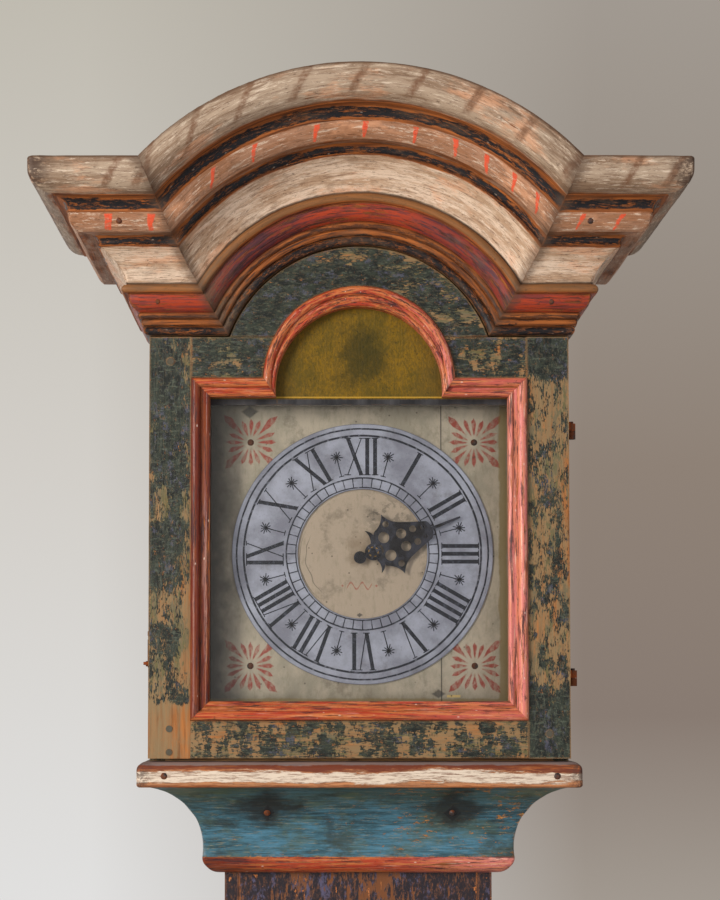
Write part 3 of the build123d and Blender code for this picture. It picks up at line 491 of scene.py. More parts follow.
@dataclass(frozen=True)
class Rub:
    """A place where a coat is worn more, or less if the amount is below 0."""

    amount: float
    left: float = -9.0
    right: float = 9.0
    low: float = -9.0
    high: float = 9.0
    soft: float = 0.02

    def map(self, finish: Finish) -> Socket:
        """The amount inside the place, fading out at its edges."""
        sides = finish.x.band(self.left, self.right, self.soft)
        return sides * finish.z.band(self.low, self.high, self.soft) * self.amount


@dataclass(frozen=True)
class GreenPaint:
    """Near-black green over teal over an olive film on orange pine, flaked and rubbed along the grain."""

    ground: Colour = (168, 104, 50)
    ground_dark: Colour = (104, 62, 28)
    olive: Colour = (126, 104, 72)
    teal: Colour = (50, 78, 68)
    moss: Colour = (78, 80, 48)
    green: Colour = (16, 20, 17)
    green_lit: Colour = (40, 46, 37)
    dry: Colour = (82, 88, 74)
    bloom: Colour = (84, 84, 104)

    def make(
        self, name: str, run: Run, rubs: tuple[Rub, ...] = (), seed: float = 0.0, clumps: float = 0.0
    ) -> Material:
        """Makes the finish.

        Args:
            name: the material's name.
            run: the way that the grain runs.
            rubs: the places where the paint is worn more.
            seed: moves every pattern.
            clumps: how strongly the dark coat is left in upright clumps.

        Returns:
            The material.
        """
        finish = Finish(name, run, seed)
        finish.wood(self.ground, self.ground_dark)
        worn = finish.edge(0.0032) * 0.2
        for rub in rubs:
            worn = worn + rub.map(finish)
        if clumps:
            upright = finish.noise(0.013, 2.4, 6.0, 0.75, 12.0, Run.UPRIGHT)
            worn = worn + (0.5 - upright) * clumps
        film = finish.kept(0.9, 0.04, 3.0, worn * 0.25, 5.0, 0.07)
        fade = finish.noise(0.0028, 12.0, 5.0, 0.7, 6.0).step(0.36, 0.6)
        finish.lay(film * (fade * 0.35 + 0.6), self.olive, 0.5)
        streaks = finish.noise(0.0032, 9.0, 5.0, 0.7, 7.0).step(0.42, 0.58)
        teal = finish.kept(0.74, 0.012, 3.0, worn, 1.0, 0.02)
        finish.lay(teal * (streaks * 0.35 + 0.4), finish.mixed(streaks, self.teal, self.moss), 0.5, 0.00008)
        dark = finish.kept(0.84, 0.011, 2.0, worn * 1.2, 2.0, 0.01)
        speck = finish.noise(0.0026, 2.2, 4.0, 0.85, 8.0).step(0.545, 0.6)
        mottle = finish.noise(0.008, 1.6, 7.0, 0.8, 9.0).step(0.44, 0.56)
        body = finish.mixed(mottle, self.green, self.green_lit)
        finish.lay(dark * (1.0 - speck * 0.35), body, 0.42, 0.0002)
        dry = finish.noise(0.0022, 3.2, 5.0, 0.8, 13.0).step(0.54, 0.6)
        patch = finish.noise(0.03, 1.6, 6.0, 0.7, 14.0).step(0.42, 0.58)
        finish.lay(dry * patch * dark * 0.6, self.dry, 0.55, 0.0001)
        across = (0.0024, 4.0, 5.0, 0.8, 15.0, Run.ACROSS)
        finish.flecks(self.dry, 0.6, across, (0.56, 0.6), 0.55, where=dark)
        finish.flecks(self.bloom, 0.5, (0.013, 1.4, 9.0, 0.85, 10.0), (0.55, 0.6), 0.6, where=dark)
        finish.flecks(self.ground, 0.7, (0.0042, 1.8, 7.0, 0.85, 16.0), (0.605, 0.63), 0.5, -0.0001)
        return finish.done()


@dataclass(frozen=True)
class CornicePaint:
    """The cornice's bands of cream, black and red, worn back to orange wood along their edges."""

    cream: Colour = (208, 182, 158)
    cream_dark: Colour = (168, 136, 108)
    crown: Colour = (164, 142, 120)
    crown_dark: Colour = (128, 102, 80)
    tawny: Colour = (134, 82, 48)
    peach: Colour = (204, 146, 108)
    black: Colour = (16, 15, 19)
    red: Colour = (156, 54, 24)
    plum: Colour = (78, 40, 46)
    stroke: Colour = (108, 72, 48)
    dash: Colour = (206, 76, 44)
    pale: Colour = (222, 202, 180)
    bare: Colour = (122, 72, 38)
    shadow: Colour = (98, 64, 42)
    speck: Colour = (70, 46, 30)
    soot: Colour = (92, 70, 52)
    dashes: tuple[float, ...] = (-37.0, -25.6, -10.4, 1.1, 12.9, 22.7, 31.1, 38.8, 46.0)
    end_dashes: tuple[tuple[float, float, float], ...] = (
        (-0.2335, 0.05, 0.0034), (-0.194, 0.05, 0.0028), (0.204, 0.6, 0.0016), (0.239, 0.6, 0.0016)
    )
    strokes: tuple[float, ...] = (-0.238, -0.210, 0.238, 0.276)
    stroke_pitch: float = 0.052
    mark_reach: float = 0.24

    def bands(self, finish: Finish) -> Socket:
        """Height above the cornice's lower edge, a little unsteady, as a hand-held brush leaves it."""
        straight = finish.z - CORNICE.bottom
        arched = finish.radius - CORNICE.arch_radius
        height = arched if finish.run is Run.ARCHED else straight
        return height + finish.uneven(0.004, 0.02, 3.0, 6.0, 0.65, 11.0)

    def make(self, run: Run) -> Material:
        """Makes the finish for the arch, the straight fronts or the returns."""
        finish = Finish(f"cornice_paint_{run.value}", run, 2.0)
        finish.wood((158, 88, 36), (82, 42, 18), 0.0003)
        height = self.bands(finish)
        edge = finish.edge(0.0026)
        self.creams(finish, height, edge)
        self.blacks(finish, height, edge)
        self.reds(finish, height, edge)
        self.marks(finish, height)
        self.grime(finish, height)
        return finish.done()

    def creams(self, finish: Finish, height: Socket, edge: Socket) -> None:
        """The cream bands: streaked along the grain with brown, with peach and grey clouds."""
        c = CORNICE
        crown = height.step(c.scotia_top, c.scotia_top + 0.001)
        fascia = height.band(c.hollow_top, c.fascia_top, 0.0012)
        cream = crown + fascia + height.band(c.fillet_top, c.cove_top, 0.0012)
        tone = finish.noise(0.012, 8.0, 8.0, 0.75, 12.0).step(0.42, 0.58)
        body = finish.mixed(tone, self.cream, self.cream_dark)
        body = finish.mixed(crown, body, finish.mixed(tone, self.crown, self.crown_dark))
        body = finish.mixed(fascia * 0.8, body, self.tawny)
        warm = finish.noise(0.03, 3.0, 7.0, 0.7, 18.0).step(0.5, 0.62)
        body = finish.mixed(warm * 0.6, body, self.peach)
        pale = finish.noise(0.0024, 7.0, 6.0, 0.8, 20.0).step(0.54, 0.6)
        body = finish.mixed(pale * 0.5, body, self.pale)
        kept = finish.kept(0.95, 0.007, 8.0, edge * 0.1, 13.0, 0.01)
        cream = cream.clipped()
        finish.lay(cream * kept, body, 0.55, 0.0002)
        for size, drag, low, seed in ((0.0013, 14.0, 0.555, 19.0), (0.0026, 18.0, 0.6, 27.0)):
            cloud = (size, drag, 5.0, 0.75, seed)
            finish.flecks(self.shadow, 0.5, cloud, (low, low + 0.05), 0.6, -0.00015, cream)

    def blacks(self, finish: Finish, height: Socket, edge: Socket) -> None:
        """The black bands, broken into streaks over orange wood, with small pale flecks of painted
        highlight.
        """
        c = CORNICE
        height = height + finish.uneven(0.013, 0.009, 4.0, 7.0, 0.75, 28.0)
        black = height.band(-0.01, c.bead, 0.0006) + height.band(0.0138, 0.0172, 0.0006) * 0.7
        black = black + height.band(c.cove_top + 0.0012, c.hollow_top - 0.0020, 0.0006)
        black = black + height.band(c.fascia_top + 0.0030, c.scotia_top - 0.0026, 0.0006)
        black = black.clipped()
        kept = finish.kept(0.76, 0.0045, 5.0, edge * 0.2, 14.0, 0.01)
        finish.lay(black * kept, self.black, 0.36, 0.0003)
        finish.flecks(self.bare, 0.75, (0.002, 6.0, 4.0, 0.8, 29.0), (0.55, 0.6), where=black)
        # Small pale flecks on the black: painted highlights.
        painted_glints = finish.cells(0.0055, 2.0, 5.0).step(0.13, 0.07)
        finish.lay(black * painted_glints * 0.5, (156, 140, 126), 0.5)

    def reds(self, finish: Finish, height: Socket, edge: Socket) -> None:
        """The red band, streaked with plum and orange, and the olive fillet above it, with painted shade in
        the crease at the fillet's top.
        """
        c = CORNICE
        red = height.band(c.reeds, c.red_top, 0.0012)
        plum = finish.noise(0.0034, 14.0, 6.0, 0.7, 15.0).step(0.47, 0.56)
        steep = abs(finish.turn).band(0.35, 1.3, 0.3) * 0.5 if finish.run is Run.ARCHED else 0.0
        body = finish.mixed((plum * 0.6 + steep).clipped(), self.red, self.plum)
        kept = finish.kept(0.8, 0.005, 14.0, edge * 0.15, 16.0, 0.012)
        finish.lay(red * kept, body, 0.4, 0.0002)
        below = height.step(c.red_top, c.red_top - 0.001)
        lines = (0.0017, 24.0, 4.0, 0.7, 30.0)
        finish.flecks((42, 24, 20), 0.75, lines, (0.55, 0.6), 0.45, -0.0001, below)
        olive = height.band(c.red_top + 0.0012, c.fillet_top - 0.001, 0.001)
        finish.lay(olive * 0.6, (116, 84, 50), 0.5)
        # A dark line along the crease at the fillet's top: painted shade.
        crease = height.band(c.fillet_top - 0.0008, c.fillet_top + 0.0012, 0.001)
        finish.lay(crease * 0.75, (56, 42, 26), 0.6)

    def marks(self, finish: Finish, height: Socket) -> None:
        """The short red dashes on the fascia and the wide brown strokes on the crown."""
        c = CORNICE
        arched = finish.run is Run.ARCHED
        along = finish.x if finish.run is Run.ACROSS else finish.y
        places = self.end_dashes
        if arched:
            along = finish.turn * self.mark_reach
            lean = finish.turn * -1.2 + 0.15
            places = [(math.radians(angle) * self.mark_reach, lean, 0.0021) for angle in self.dashes]
        wobble = finish.uneven(0.007, 0.012, 1.0, 5.0, 0.7, 21.0)
        fascia = height.band(c.hollow_top + 0.001, c.fascia_top - 0.0014, 0.001)
        rise = height - (c.hollow_top + c.fascia_top) / 2
        dash: Any = 0.0
        for place, lean, half in places:
            mark = abs(along + wobble - place - rise * lean) - (rise * 0.12 + half)
            dash = mark.step(0.0007, -0.0007) + dash
        thin = finish.noise(0.003, 1.5, 5.0, 0.8, 22.0).step(0.62, 0.5)
        finish.lay(dash.clipped() * fascia * (thin * 0.6 + 0.4), self.dash, 0.4, 0.0001)
        crown = height.step(c.scotia_top + 0.002, c.scotia_top + 0.007)
        slope = finish.turn * -0.9 + 0.6 if arched else 0.6
        slant = along + wobble * 0.7 - (height - c.scotia_top) * slope
        if arched:
            beside = (slant + 0.012).wave(self.stroke_pitch)
        else:
            beside = abs(slant - self.strokes[0])
            for place in self.strokes[1:]:
                beside = beside.sum("MINIMUM", abs(slant - place))
        stroke = (beside - 0.0038).step(0.0022, -0.0022)
        faint = finish.noise(0.006, 1.0, 7.0, 0.75, 23.0).step(0.4, 0.6) * 0.5 + 0.35
        finish.lay(stroke * crown * faint, self.stroke, 0.5)

    def grime(self, finish: Finish, height: Socket) -> None:
        """Fine brown specks everywhere, painted shade in the valleys and on the arch's lower left side, and
        stained crown ends.
        """
        c = CORNICE
        finish.flecks(self.speck, 0.6, (0.0026, 2.5, 5.0, 0.8, 17.0), (0.58, 0.64), 0.7)
        finish.flecks(self.soot, 0.35, (0.03, 3.0, 8.0, 0.75, 24.0), (0.54, 0.64), 0.65)
        rough = finish.noise(0.007, 1.5, 6.0, 0.8, 25.0)
        if finish.run is Run.ARCHED:
            # The lower bands on the arch's left side are darkened: painted shade, as the light falls from
            # the left.
            left = finish.turn.step(-0.7, -1.15) * height.step(0.095, 0.05)
            finish.lay(left * rough.step(0.38, 0.54) * 0.7, (98, 78, 58), 0.65)
            beside = finish.z - c.bottom - height
        else:
            ends = abs(finish.x).step(0.276, 0.298) * height.step(0.118, 0.124)
            finish.lay(ends * rough.step(0.4, 0.52) * 0.85, (58, 38, 28), 0.6)
            beside = finish.radius - c.arch_radius - height
        # Darker where the arch meets the straight fronts: painted shade in the valleys.
        shaded_valley = (abs(beside) + (rough - 0.5) * 0.016).step(0.011, 0.0)
        finish.lay(shaded_valley * 0.65, (72, 52, 38), 0.7)
        finish.lay(height.step(c.top - 0.0042, c.top - 0.0012) * 0.75, (82, 56, 38), 0.65)


@dataclass(frozen=True)
class RedPaint:
    """Red lead over an orange ground, streaked along the moulding, darker rust towards the left and salmon
    towards the right, with small flecks of painted highlight.
    """

    red: Colour = (160, 56, 32)
    orange: Colour = (190, 112, 60)
    rust: Colour = (88, 27, 9)
    dark: Colour = (44, 24, 30)
    salmon: Colour = (202, 114, 106)
    pale: Colour = (220, 176, 156)
    crust: Colour = (62, 34, 30)
    painted_highlight: Colour = (216, 192, 176)

    def make(self, run: Run, seed: float = 0.0, node: str = "") -> Material:
        """Makes the finish for mouldings that run one way, or round a frame's node."""
        finish = Finish(f"red_paint_{run.value}_{seed:g}", run, seed, node)
        finish.wood((178, 104, 48), (112, 62, 28))
        edge = finish.edge(0.002)
        left = finish.x.step(-0.06, -0.143)
        right = finish.x.step(0.02, 0.143)
        if run is Run.FRAMED:
            left, right = left * (1.0 - finish.level), right * (1.0 - finish.level * 0.6)
        streak = finish.noise(0.0028, 22.0, 5.0, 0.7, 1.0).step(0.45, 0.56)
        body = finish.mixed(right, self.red, self.salmon)
        body = finish.mixed(left * 0.9, body, self.rust)
        light = finish.mixed(left * 0.9, self.orange, (104, 42, 12))
        light = finish.mixed(right * 0.8, light, (206, 126, 92))
        body = finish.mixed(streak * 0.8, body, light)
        finish.lay(finish.kept(0.86, 0.006, 15.0, edge * 0.14, 2.0, 0.01), body, 0.38, 0.0002)
        pale = finish.noise(0.0021, 18.0, 5.0, 0.75, 4.0).step(0.57, 0.63)
        finish.lay(pale * (right * 0.5 + 0.25) * (1.0 - left * 0.7), self.pale, 0.5)
        for size, low, layer in ((0.0044, 0.56, 3.0), (0.0017, 0.555, 8.0)):
            lines = (size, 18.0, 6.0, 0.75, layer)
            finish.flecks(self.dark, 0.8, lines, (low, low + 0.04), 0.45, -0.00012)
        finish.flecks(self.crust, 0.6, (0.003, 1.6, 6.0, 0.8, 9.0), (0.59, 0.64), 0.6)
        # Small pale flecks: painted highlights.
        painted_glints = finish.cells(0.007, 2.0, 7.0).step(0.11, 0.06)
        finish.lay(painted_glints * 0.6, self.painted_highlight, 0.5)
        return finish.done()


@dataclass(frozen=True)
class CreamPaint:
    """The torus: cream along its middle, orange wood above and below, and grey dust on top."""

    low: float
    high: float
    cream: Colour = (208, 190, 170)
    line: Colour = (110, 62, 36)

    def make(self, run: Run) -> Material:
        """Makes the finish for lengths that run one way."""
        finish = Finish(f"cream_paint_{run.value}_{self.low:.2f}", run, 4.0)
        finish.wood((168, 92, 42), (92, 46, 22), 0.0002)
        rise = (finish.z - self.low) / (self.high - self.low)
        rise = rise + finish.uneven(1.1, 0.02, 7.0, 8.0, 0.75, 1.0)
        kept = finish.kept(0.88, 0.007, 12.0, finish.edge(0.003) * 0.1, 2.0, 0.01)
        finish.lay(rise.band(0.0, 0.72, 0.2) * 0.55, (192, 138, 96), 0.5)
        finish.lay(rise.band(0.2, 0.66, 0.05) * kept, self.cream, 0.5, 0.0003)
        for size, low, seed in ((0.0015, 0.53, 5.0), (0.003, 0.56, 9.0)):
            cloud = (size, 14.0, 5.0, 0.75, seed)
            finish.flecks(self.line, 0.6, cloud, (low, low + 0.04), 0.55, -0.0001)
        brown = rise.band(0.7, 0.95, 0.06) * finish.kept(0.7, 0.005, 14.0, 0.0, 3.0, 0.02)
        finish.lay(brown, (104, 46, 24), 0.5)
        dust = finish.z + finish.uneven(0.006, 0.01, 3.0, 6.0, 0.7, 8.0)
        finish.lay(dust.step(self.high - 0.0035, self.high - 0.0022) * 0.75, (118, 108, 106), 0.6)
        ends = abs(finish.x).step(0.19, 0.208) * finish.noise(0.008, 1.0, 6.0, 0.8, 6.0).step(0.44, 0.54)
        finish.lay(ends * 0.8, (66, 46, 38), 0.6)
        return finish.done()


@dataclass(frozen=True)
class BluePaint:
    """The cove: teal blue brushed along it, flecked to ochre, with mossy and sooty patches."""

    teal: Colour = (58, 96, 110)
    deep: Colour = (36, 60, 68)
    lit: Colour = (76, 124, 148)
    mossy: Colour = (76, 86, 62)
    chip: Colour = (196, 132, 62)
    fleck: Colour = (150, 132, 96)
    grain: Colour = (34, 44, 44)
    soot: Colour = (38, 42, 38)
    nails: tuple[float, ...] = (-0.088, 0.090)
    nail_height: float = 1.4648

    def make(self, run: Run) -> Material:
        """Makes the finish for lengths that run one way."""
        finish = Finish(f"blue_paint_{run.value}", run, 6.0)
        finish.wood(self.chip, (140, 86, 36))
        brushed = finish.noise(0.003, 12.0, 6.0, 0.75, 1.0).step(0.42, 0.6)
        herd = finish.noise(0.035, 2.0, 4.0, 0.6, 11.0) - 0.5
        worn = finish.edge(0.003) * 0.1 + finish.x.step(-0.05, 0.06) * 0.055 + herd * 0.22 - 0.01
        kept = finish.kept(0.95, 0.0045, 2.4, worn, 2.0, 0.008)
        lit = finish.noise(0.04, 3.0, 7.0, 0.7, 3.0).step(0.46, 0.6)
        body = finish.mixed(brushed, self.teal, self.deep)
        body = finish.mixed(lit * 0.7, body, finish.mixed(brushed, self.lit, self.teal))
        moss = finish.noise(0.04, 2.0, 8.0, 0.75, 8.0).step(0.48, 0.58)
        high = finish.z.step(1.462, 1.486) * 0.6
        body = finish.mixed((moss * 0.45 + high * 0.7).clipped(), body, self.mossy)
        finish.lay(kept, body, 0.42, 0.0002)
        finish.flecks(self.fleck, 0.4, (0.0018, 9.0, 5.0, 0.75, 5.0), (0.57, 0.62))
        finish.flecks(self.grain, 0.4, (0.002, 16.0, 5.0, 0.75, 9.0), (0.56, 0.61))
        finish.flecks(self.soot, 0.6, (0.05, 1.6, 8.0, 0.7, 4.0), (0.5, 0.6))
        ragged = finish.uneven(0.05, 0.02, 1.6, 7.0, 0.75, 7.0)
        for nail in self.nails:
            beside = abs(finish.x - nail) * 0.6 + abs(finish.z - 1.470) + ragged
            finish.lay(beside.step(0.03, 0.01) * 0.85, (30, 30, 28), 0.5)
            crust = abs(finish.x - nail) + abs(finish.z - self.nail_height) + ragged * 0.25
            finish.lay(crust.step(0.009, 0.006) * 0.8, (26, 26, 28), 0.6, 0.0004)
        return finish.done()


@dataclass(frozen=True)
class DarkPaint:
    """The trunk: blue-black, worn to a brown stain and to orange wood."""

    dark: Colour = (34, 28, 34)
    brown: Colour = (108, 64, 34)
    speck: Colour = (112, 70, 42)
    bloom: Colour = (92, 88, 116)
    chip: Colour = (176, 106, 54)

    def make(self, run: Run) -> Material:
        """Makes the finish for boards whose grain runs one way."""
        finish = Finish(f"dark_paint_{run.value}", run, 8.0)
        finish.wood((184, 112, 56), (120, 68, 34))
        edge = finish.edge(0.004)
        finish.lay(finish.kept(0.93, 0.012, 4.0, edge * 0.15, 1.0), self.brown, 0.42, 0.0001)
        dark = finish.kept(0.66, 0.02, 2.0, edge * 0.2, 2.0, 0.025)
        finish.lay(dark, self.dark, 0.42, 0.00015)
        finish.flecks(self.speck, 0.5, (0.0026, 2.0, 4.0, 0.85, 4.0), (0.53, 0.6))
        finish.flecks(self.bloom, 0.65, (0.009, 2.0, 8.0, 0.85, 3.0), (0.53, 0.6), where=dark)
        chips = finish.noise(0.008, 1.5, 7.0, 0.7, 5.0).step(0.63, 0.65)
        finish.lay(chips, self.chip, 0.5, -0.0002)
        return finish.done()


@dataclass(frozen=True)
class OchrePaint:
    """The lunette: olive ochre with darker clouds and a fine black speckle."""

    ochre: Colour = (118, 88, 8)
    olive: Colour = (40, 38, 8)
    pit: Colour = (34, 32, 18)
    centre: tuple[float, float] = (-0.002, 1.902)

    def make(self) -> Material:
        """Makes the finish of the lunette panel."""
        finish = Finish("ochre_paint", Run.UPRIGHT, 9.0)
        finish.wood(self.ochre, (104, 76, 20))
        weave = finish.noise(0.0022, 2.0, 4.0, 0.8, 1.0).step(0.4, 0.6)
        clouds = finish.noise(0.03, 1.2, 8.0, 0.75, 4.0).step(0.42, 0.6)
        body = finish.mixed(weave * 0.6, self.ochre, (76, 62, 20))
        finish.lay(1.0, finish.mixed(clouds * 0.5, body, (62, 56, 10)), 0.5, weave * 0.00008)
        finish.sheen = 0.15
        distance, _ = finish.polar(*self.centre)
        cloud = (distance + finish.uneven(0.09, 0.03, 1.0, 8.0, 0.75, 2.0)).step(0.036, 0.01)
        finish.lay(cloud * 0.7, self.olive, 0.55)
        rim = (distance + finish.uneven(0.05, 0.02, 1.0, 7.0, 0.75, 3.0)).step(0.05, 0.085)
        finish.lay(rim * 0.5, (66, 56, 22), 0.5)
        finish.flecks(self.pit, 0.7, (0.0024, 1.4, 4.0, 0.85, 5.0), (0.6, 0.65), 0.6)
        finish.lay(finish.z.band(1.8622, 1.8634, 0.0006) * 0.8, (176, 136, 48), 0.4)
        return finish.done()


@dataclass(frozen=True)
class PlainPaint:
    """One thin dark coat, dulled and chipped."""

    name: str
    colour: Colour
    under: Colour = (150, 110, 70)

    def make(self, run: Run) -> Material:
        """Makes the finish for lengths that run one way."""
        finish = Finish(f"{self.name}_{run.value}", run, 10.0)
        finish.wood(self.under, self.under)
        kept = finish.kept(0.95, 0.02, 4.0, finish.edge(0.002) * 0.12, 1.0)
        worn = finish.noise(0.02, 3.0, 6.0, 0.6, 2.0).step(0.35, 0.75)
        finish.lay(kept, finish.mixed(worn * 0.5, self.colour, (84, 82, 84)), 0.5, 0.0001)
        return finish.done()


@dataclass(frozen=True)
class Dial:
    """The dial's sizes."""

    centre_x: float = 0.004
    centre_z: float = 1.7145
    outer: float = 0.1265
    inner: float = 0.0627
    flower_reach: float = 0.1085
    numeral_low: float = 0.0768
    numeral_high: float = 0.1124


DIAL = Dial()


@dataclass(frozen=True)
class DialPaint:
    """The dial board: a thin grey cream, with painted shadow of the frame along its left and top edges and
    darker towards the bottom, with a red flower in each corner.
    """

    cream: Colour = (206, 184, 162)
    grey: Colour = (212, 196, 174)
    red: Colour = (176, 62, 46)
    fleck: Colour = (132, 118, 90)
    smoke: Colour = (108, 94, 76)
    petals: int = 16
    long_petal: float = 0.036
    short_petal: float = 0.0235
    seam: float = 0.0803
    blots: tuple[tuple[float, float, float], ...] = (
        (-0.1055, 1.8530, 0.0075), (0.001, 1.6552, 0.0026), (0.0775, 1.5790, 0.006)
    )
    sprig_place: tuple[float, float] = (0.001, 1.6835)

    def make(self) -> Material:
        """Makes the finish of the dial board."""
        finish = Finish("dial_paint", Run.UPRIGHT, 11.0)
        finish.wood((196, 176, 142), (150, 128, 96), 0.00008)
        distance, turn = finish.polar(DIAL.centre_x, DIAL.centre_z)
        tone = finish.noise(0.05, 1.4, 8.0, 0.7, 1.0).step(0.38, 0.62)
        outside = distance.step(0.07, 0.1)
        body = finish.mixed(outside, self.cream, finish.mixed(tone, self.grey, (178, 166, 146)))
        finish.lay(finish.kept(0.985, 0.02, 2.0, 0.0, 2.0), body, 0.42, 0.00006)
        finish.flecks(self.fleck, 0.25, (0.004, 3.0, 5.0, 0.7, 8.0), (0.5, 0.68))
        self.flowers(finish)
        self.edges(finish)
        specks = finish.cells(0.011, 1.0, 3.0).step(0.1, 0.05)
        finish.lay(specks * 0.65, (64, 56, 46), 0.5)
        finish.flecks(self.smoke, 0.5, (0.03, 1.0, 8.0, 0.7, 6.0), (0.54, 0.7))
        self.scuffs(finish, distance, turn)
        self.sprig(finish)
        finish.join("Coat Weight", 0.1)
        return finish.done()

    def edges(self, finish: Finish) -> None:
        """Painted shadow of the frame on the left and at the top, darker towards the bottom and where the
        frame hides the board, an ochre line on the right and below, and three dark blots.
        """
        ragged = finish.uneven(0.022, 0.02, 1.0, 7.0, 0.65, 3.0)
        # left and above: painted shadow that the frame casts on the board; below: only darker towards the
        # bottom.
        left = (finish.x + ragged).step(-0.108, -0.142)
        below = (finish.z + ragged).step(1.585, 1.566)
        above = (finish.z + ragged * 0.6).step(1.853, 1.866)
        finish.lay(left * 0.95, (40, 34, 30), 0.5)
        finish.lay(below * 0.6, (98, 90, 66), 0.5)
        finish.lay(above * 0.85, (46, 44, 44), 0.5)
        hidden = finish.x.step(0.138, 0.145) + finish.z.step(1.572, 1.565)
        finish.lay(hidden.clipped() * 0.6, (116, 104, 84), 0.5)
        right = (finish.x + ragged * 0.25).band(0.1365, 0.1445, 0.0025)
        low = (finish.z + ragged * 0.2).band(1.5675, 1.5745, 0.0025)
        finish.lay((right + low).clipped() * 0.7, (150, 122, 56), 0.5)
        seam = abs(finish.x - self.seam).step(0.0009, 0.0003)
        finish.lay(seam * 0.8, (52, 48, 42), 0.6)
        for x, z, half in self.blots:
            blot = (abs(finish.x - x) * 0.7 + abs(finish.z - z) + ragged * 0.25).step(half, half * 0.6)
            finish.lay(blot * 0.75, (50, 50, 54), 0.5)
        chip = abs(finish.x - 0.092).step(0.007, 0.006) * abs(finish.z - 1.5768).step(0.0014, 0.001)
        finish.lay(chip, (236, 204, 132), 0.4)

    def flowers(self, finish: Finish) -> None:
        """Sixteen red petals round each corner nail, the four on the diagonals longer."""
        across = abs(finish.x - DIAL.centre_x) - DIAL.flower_reach
        rise = abs(finish.z - DIAL.centre_z) - DIAL.flower_reach
        reach = (across * across + rise * rise).sum("SQRT")
        angle = across.sum("ARCTAN2", rise) + finish.uneven(0.16, 0.012, 1.0, 3.0, 0.5, 31.0)
        petal = angle.wave(math.tau / self.petals)
        diagonal = (angle + math.pi / 4).wave(math.pi / 2).step(0.21, 0.17)
        uneven = finish.uneven(0.012, 0.03, 1.0, 2.0, 0.5, 33.0)
        tip = diagonal * (self.long_petal - self.short_petal) + self.short_petal + uneven
        share = reach / tip
        width = share.step(0.3, 0.8) * (diagonal * 0.0012 + 0.0015) + 0.0005
        beside = reach * petal - width * (1.0 - share.step(0.82, 1.02))
        mask = beside.step(0.0006, -0.0004) * share.step(0.24, 0.4) * share.step(1.03, 0.98)
        thin = finish.noise(0.004, 1.5, 6.0, 0.7, 32.0).step(0.72, 0.4)
        finish.lay(mask * (thin * 0.75 + 0.2), self.red, 0.45)

    def sprig(self, finish: Finish) -> None:
        """A short red brushed scroll below the middle, with a dot at each end."""
        x, z = self.sprig_place
        across = finish.x - x
        wave = (across * (math.tau / 0.011)).sum("SINE") * 0.0032
        line = abs(finish.z - z - wave).step(0.0013, 0.0006) * abs(across).step(0.0125, 0.0115)
        dots = (abs(abs(across) - 0.0165) + abs(finish.z - z)).step(0.0018, 0.001)
        faint = finish.noise(0.003, 1.0, 4.0, 0.7, 44.0).step(0.66, 0.46)
        finish.lay((line + dots).clipped() * (faint * 0.6 + 0.15), (188, 92, 72), 0.5)

    def scuffs(self, finish: Finish, distance: Socket, turn: Socket) -> None:
        """Dark loops where the hand has scraped the middle, at the upper right, and arcs on the left."""
        spread = turn.band(0.1, 1.7, 0.6) * distance.band(0.026, 0.062, 0.016)
        rubs = finish.noise(0.012, 1.0, 8.0, 0.7, 41.0).step(0.5, 0.58)
        bend = finish.noise(0.02, 1.0, 4.0, 0.6, 45.0) * 7.0
        loops = (distance * 260.0 + bend).sum("SINE").step(0.55, 0.95)
        finish.lay(spread * (rubs * 0.6 + loops * 0.5).clipped() * 0.75, (66, 62, 54), 0.5)
        wander = finish.uneven(0.012, 0.03, 1.0, 2.0, 0.5, 42.0)
        for radius in (0.0525, 0.0592):
            arc = (distance + wander).band(radius, radius + 0.0008, 0.0005)
            finish.lay(arc * turn.band(-2.3, -1.3, 0.3) * 0.6, (84, 80, 70), 0.5)
        small = distance.step(0.034, 0.006) * finish.noise(0.03, 1.0, 6.0, 0.65, 43.0).step(0.4, 0.64)
        finish.lay(small * 0.55, (134, 106, 74), 0.5)


# ---- Metals, glass and cord ----
@dataclass(frozen=True)
class Metal:
    """A metal with tarnish in patches and fine scratches."""

    name: str
    bright: Colour
    dull: Colour
    rough: float
    tarnish: float
    metallic: float = 1.0

    def make(self) -> Material:
        """Makes the metal."""
        finish = Finish(self.name, Run.UPRIGHT, 12.0)
        patches = finish.noise(0.012, 1.0, 8.0, 0.68, 1.0)
        dull = patches.step(0.62 - self.tarnish * 0.3, 0.7 - self.tarnish * 0.2)
        fine = finish.noise(0.0012, 3.0, 3.0, 0.6, 2.0)
        finish.colour = finish.mixed(dull, self.bright, self.dull)
        finish.roughness = dull * 0.25 + fine * 0.15 + self.rough
        finish.height = patches * 0.00012 + fine * 0.00003
        finish.join("Metallic", dull * (-0.45 * self.metallic) + self.metallic)
        return finish.done()


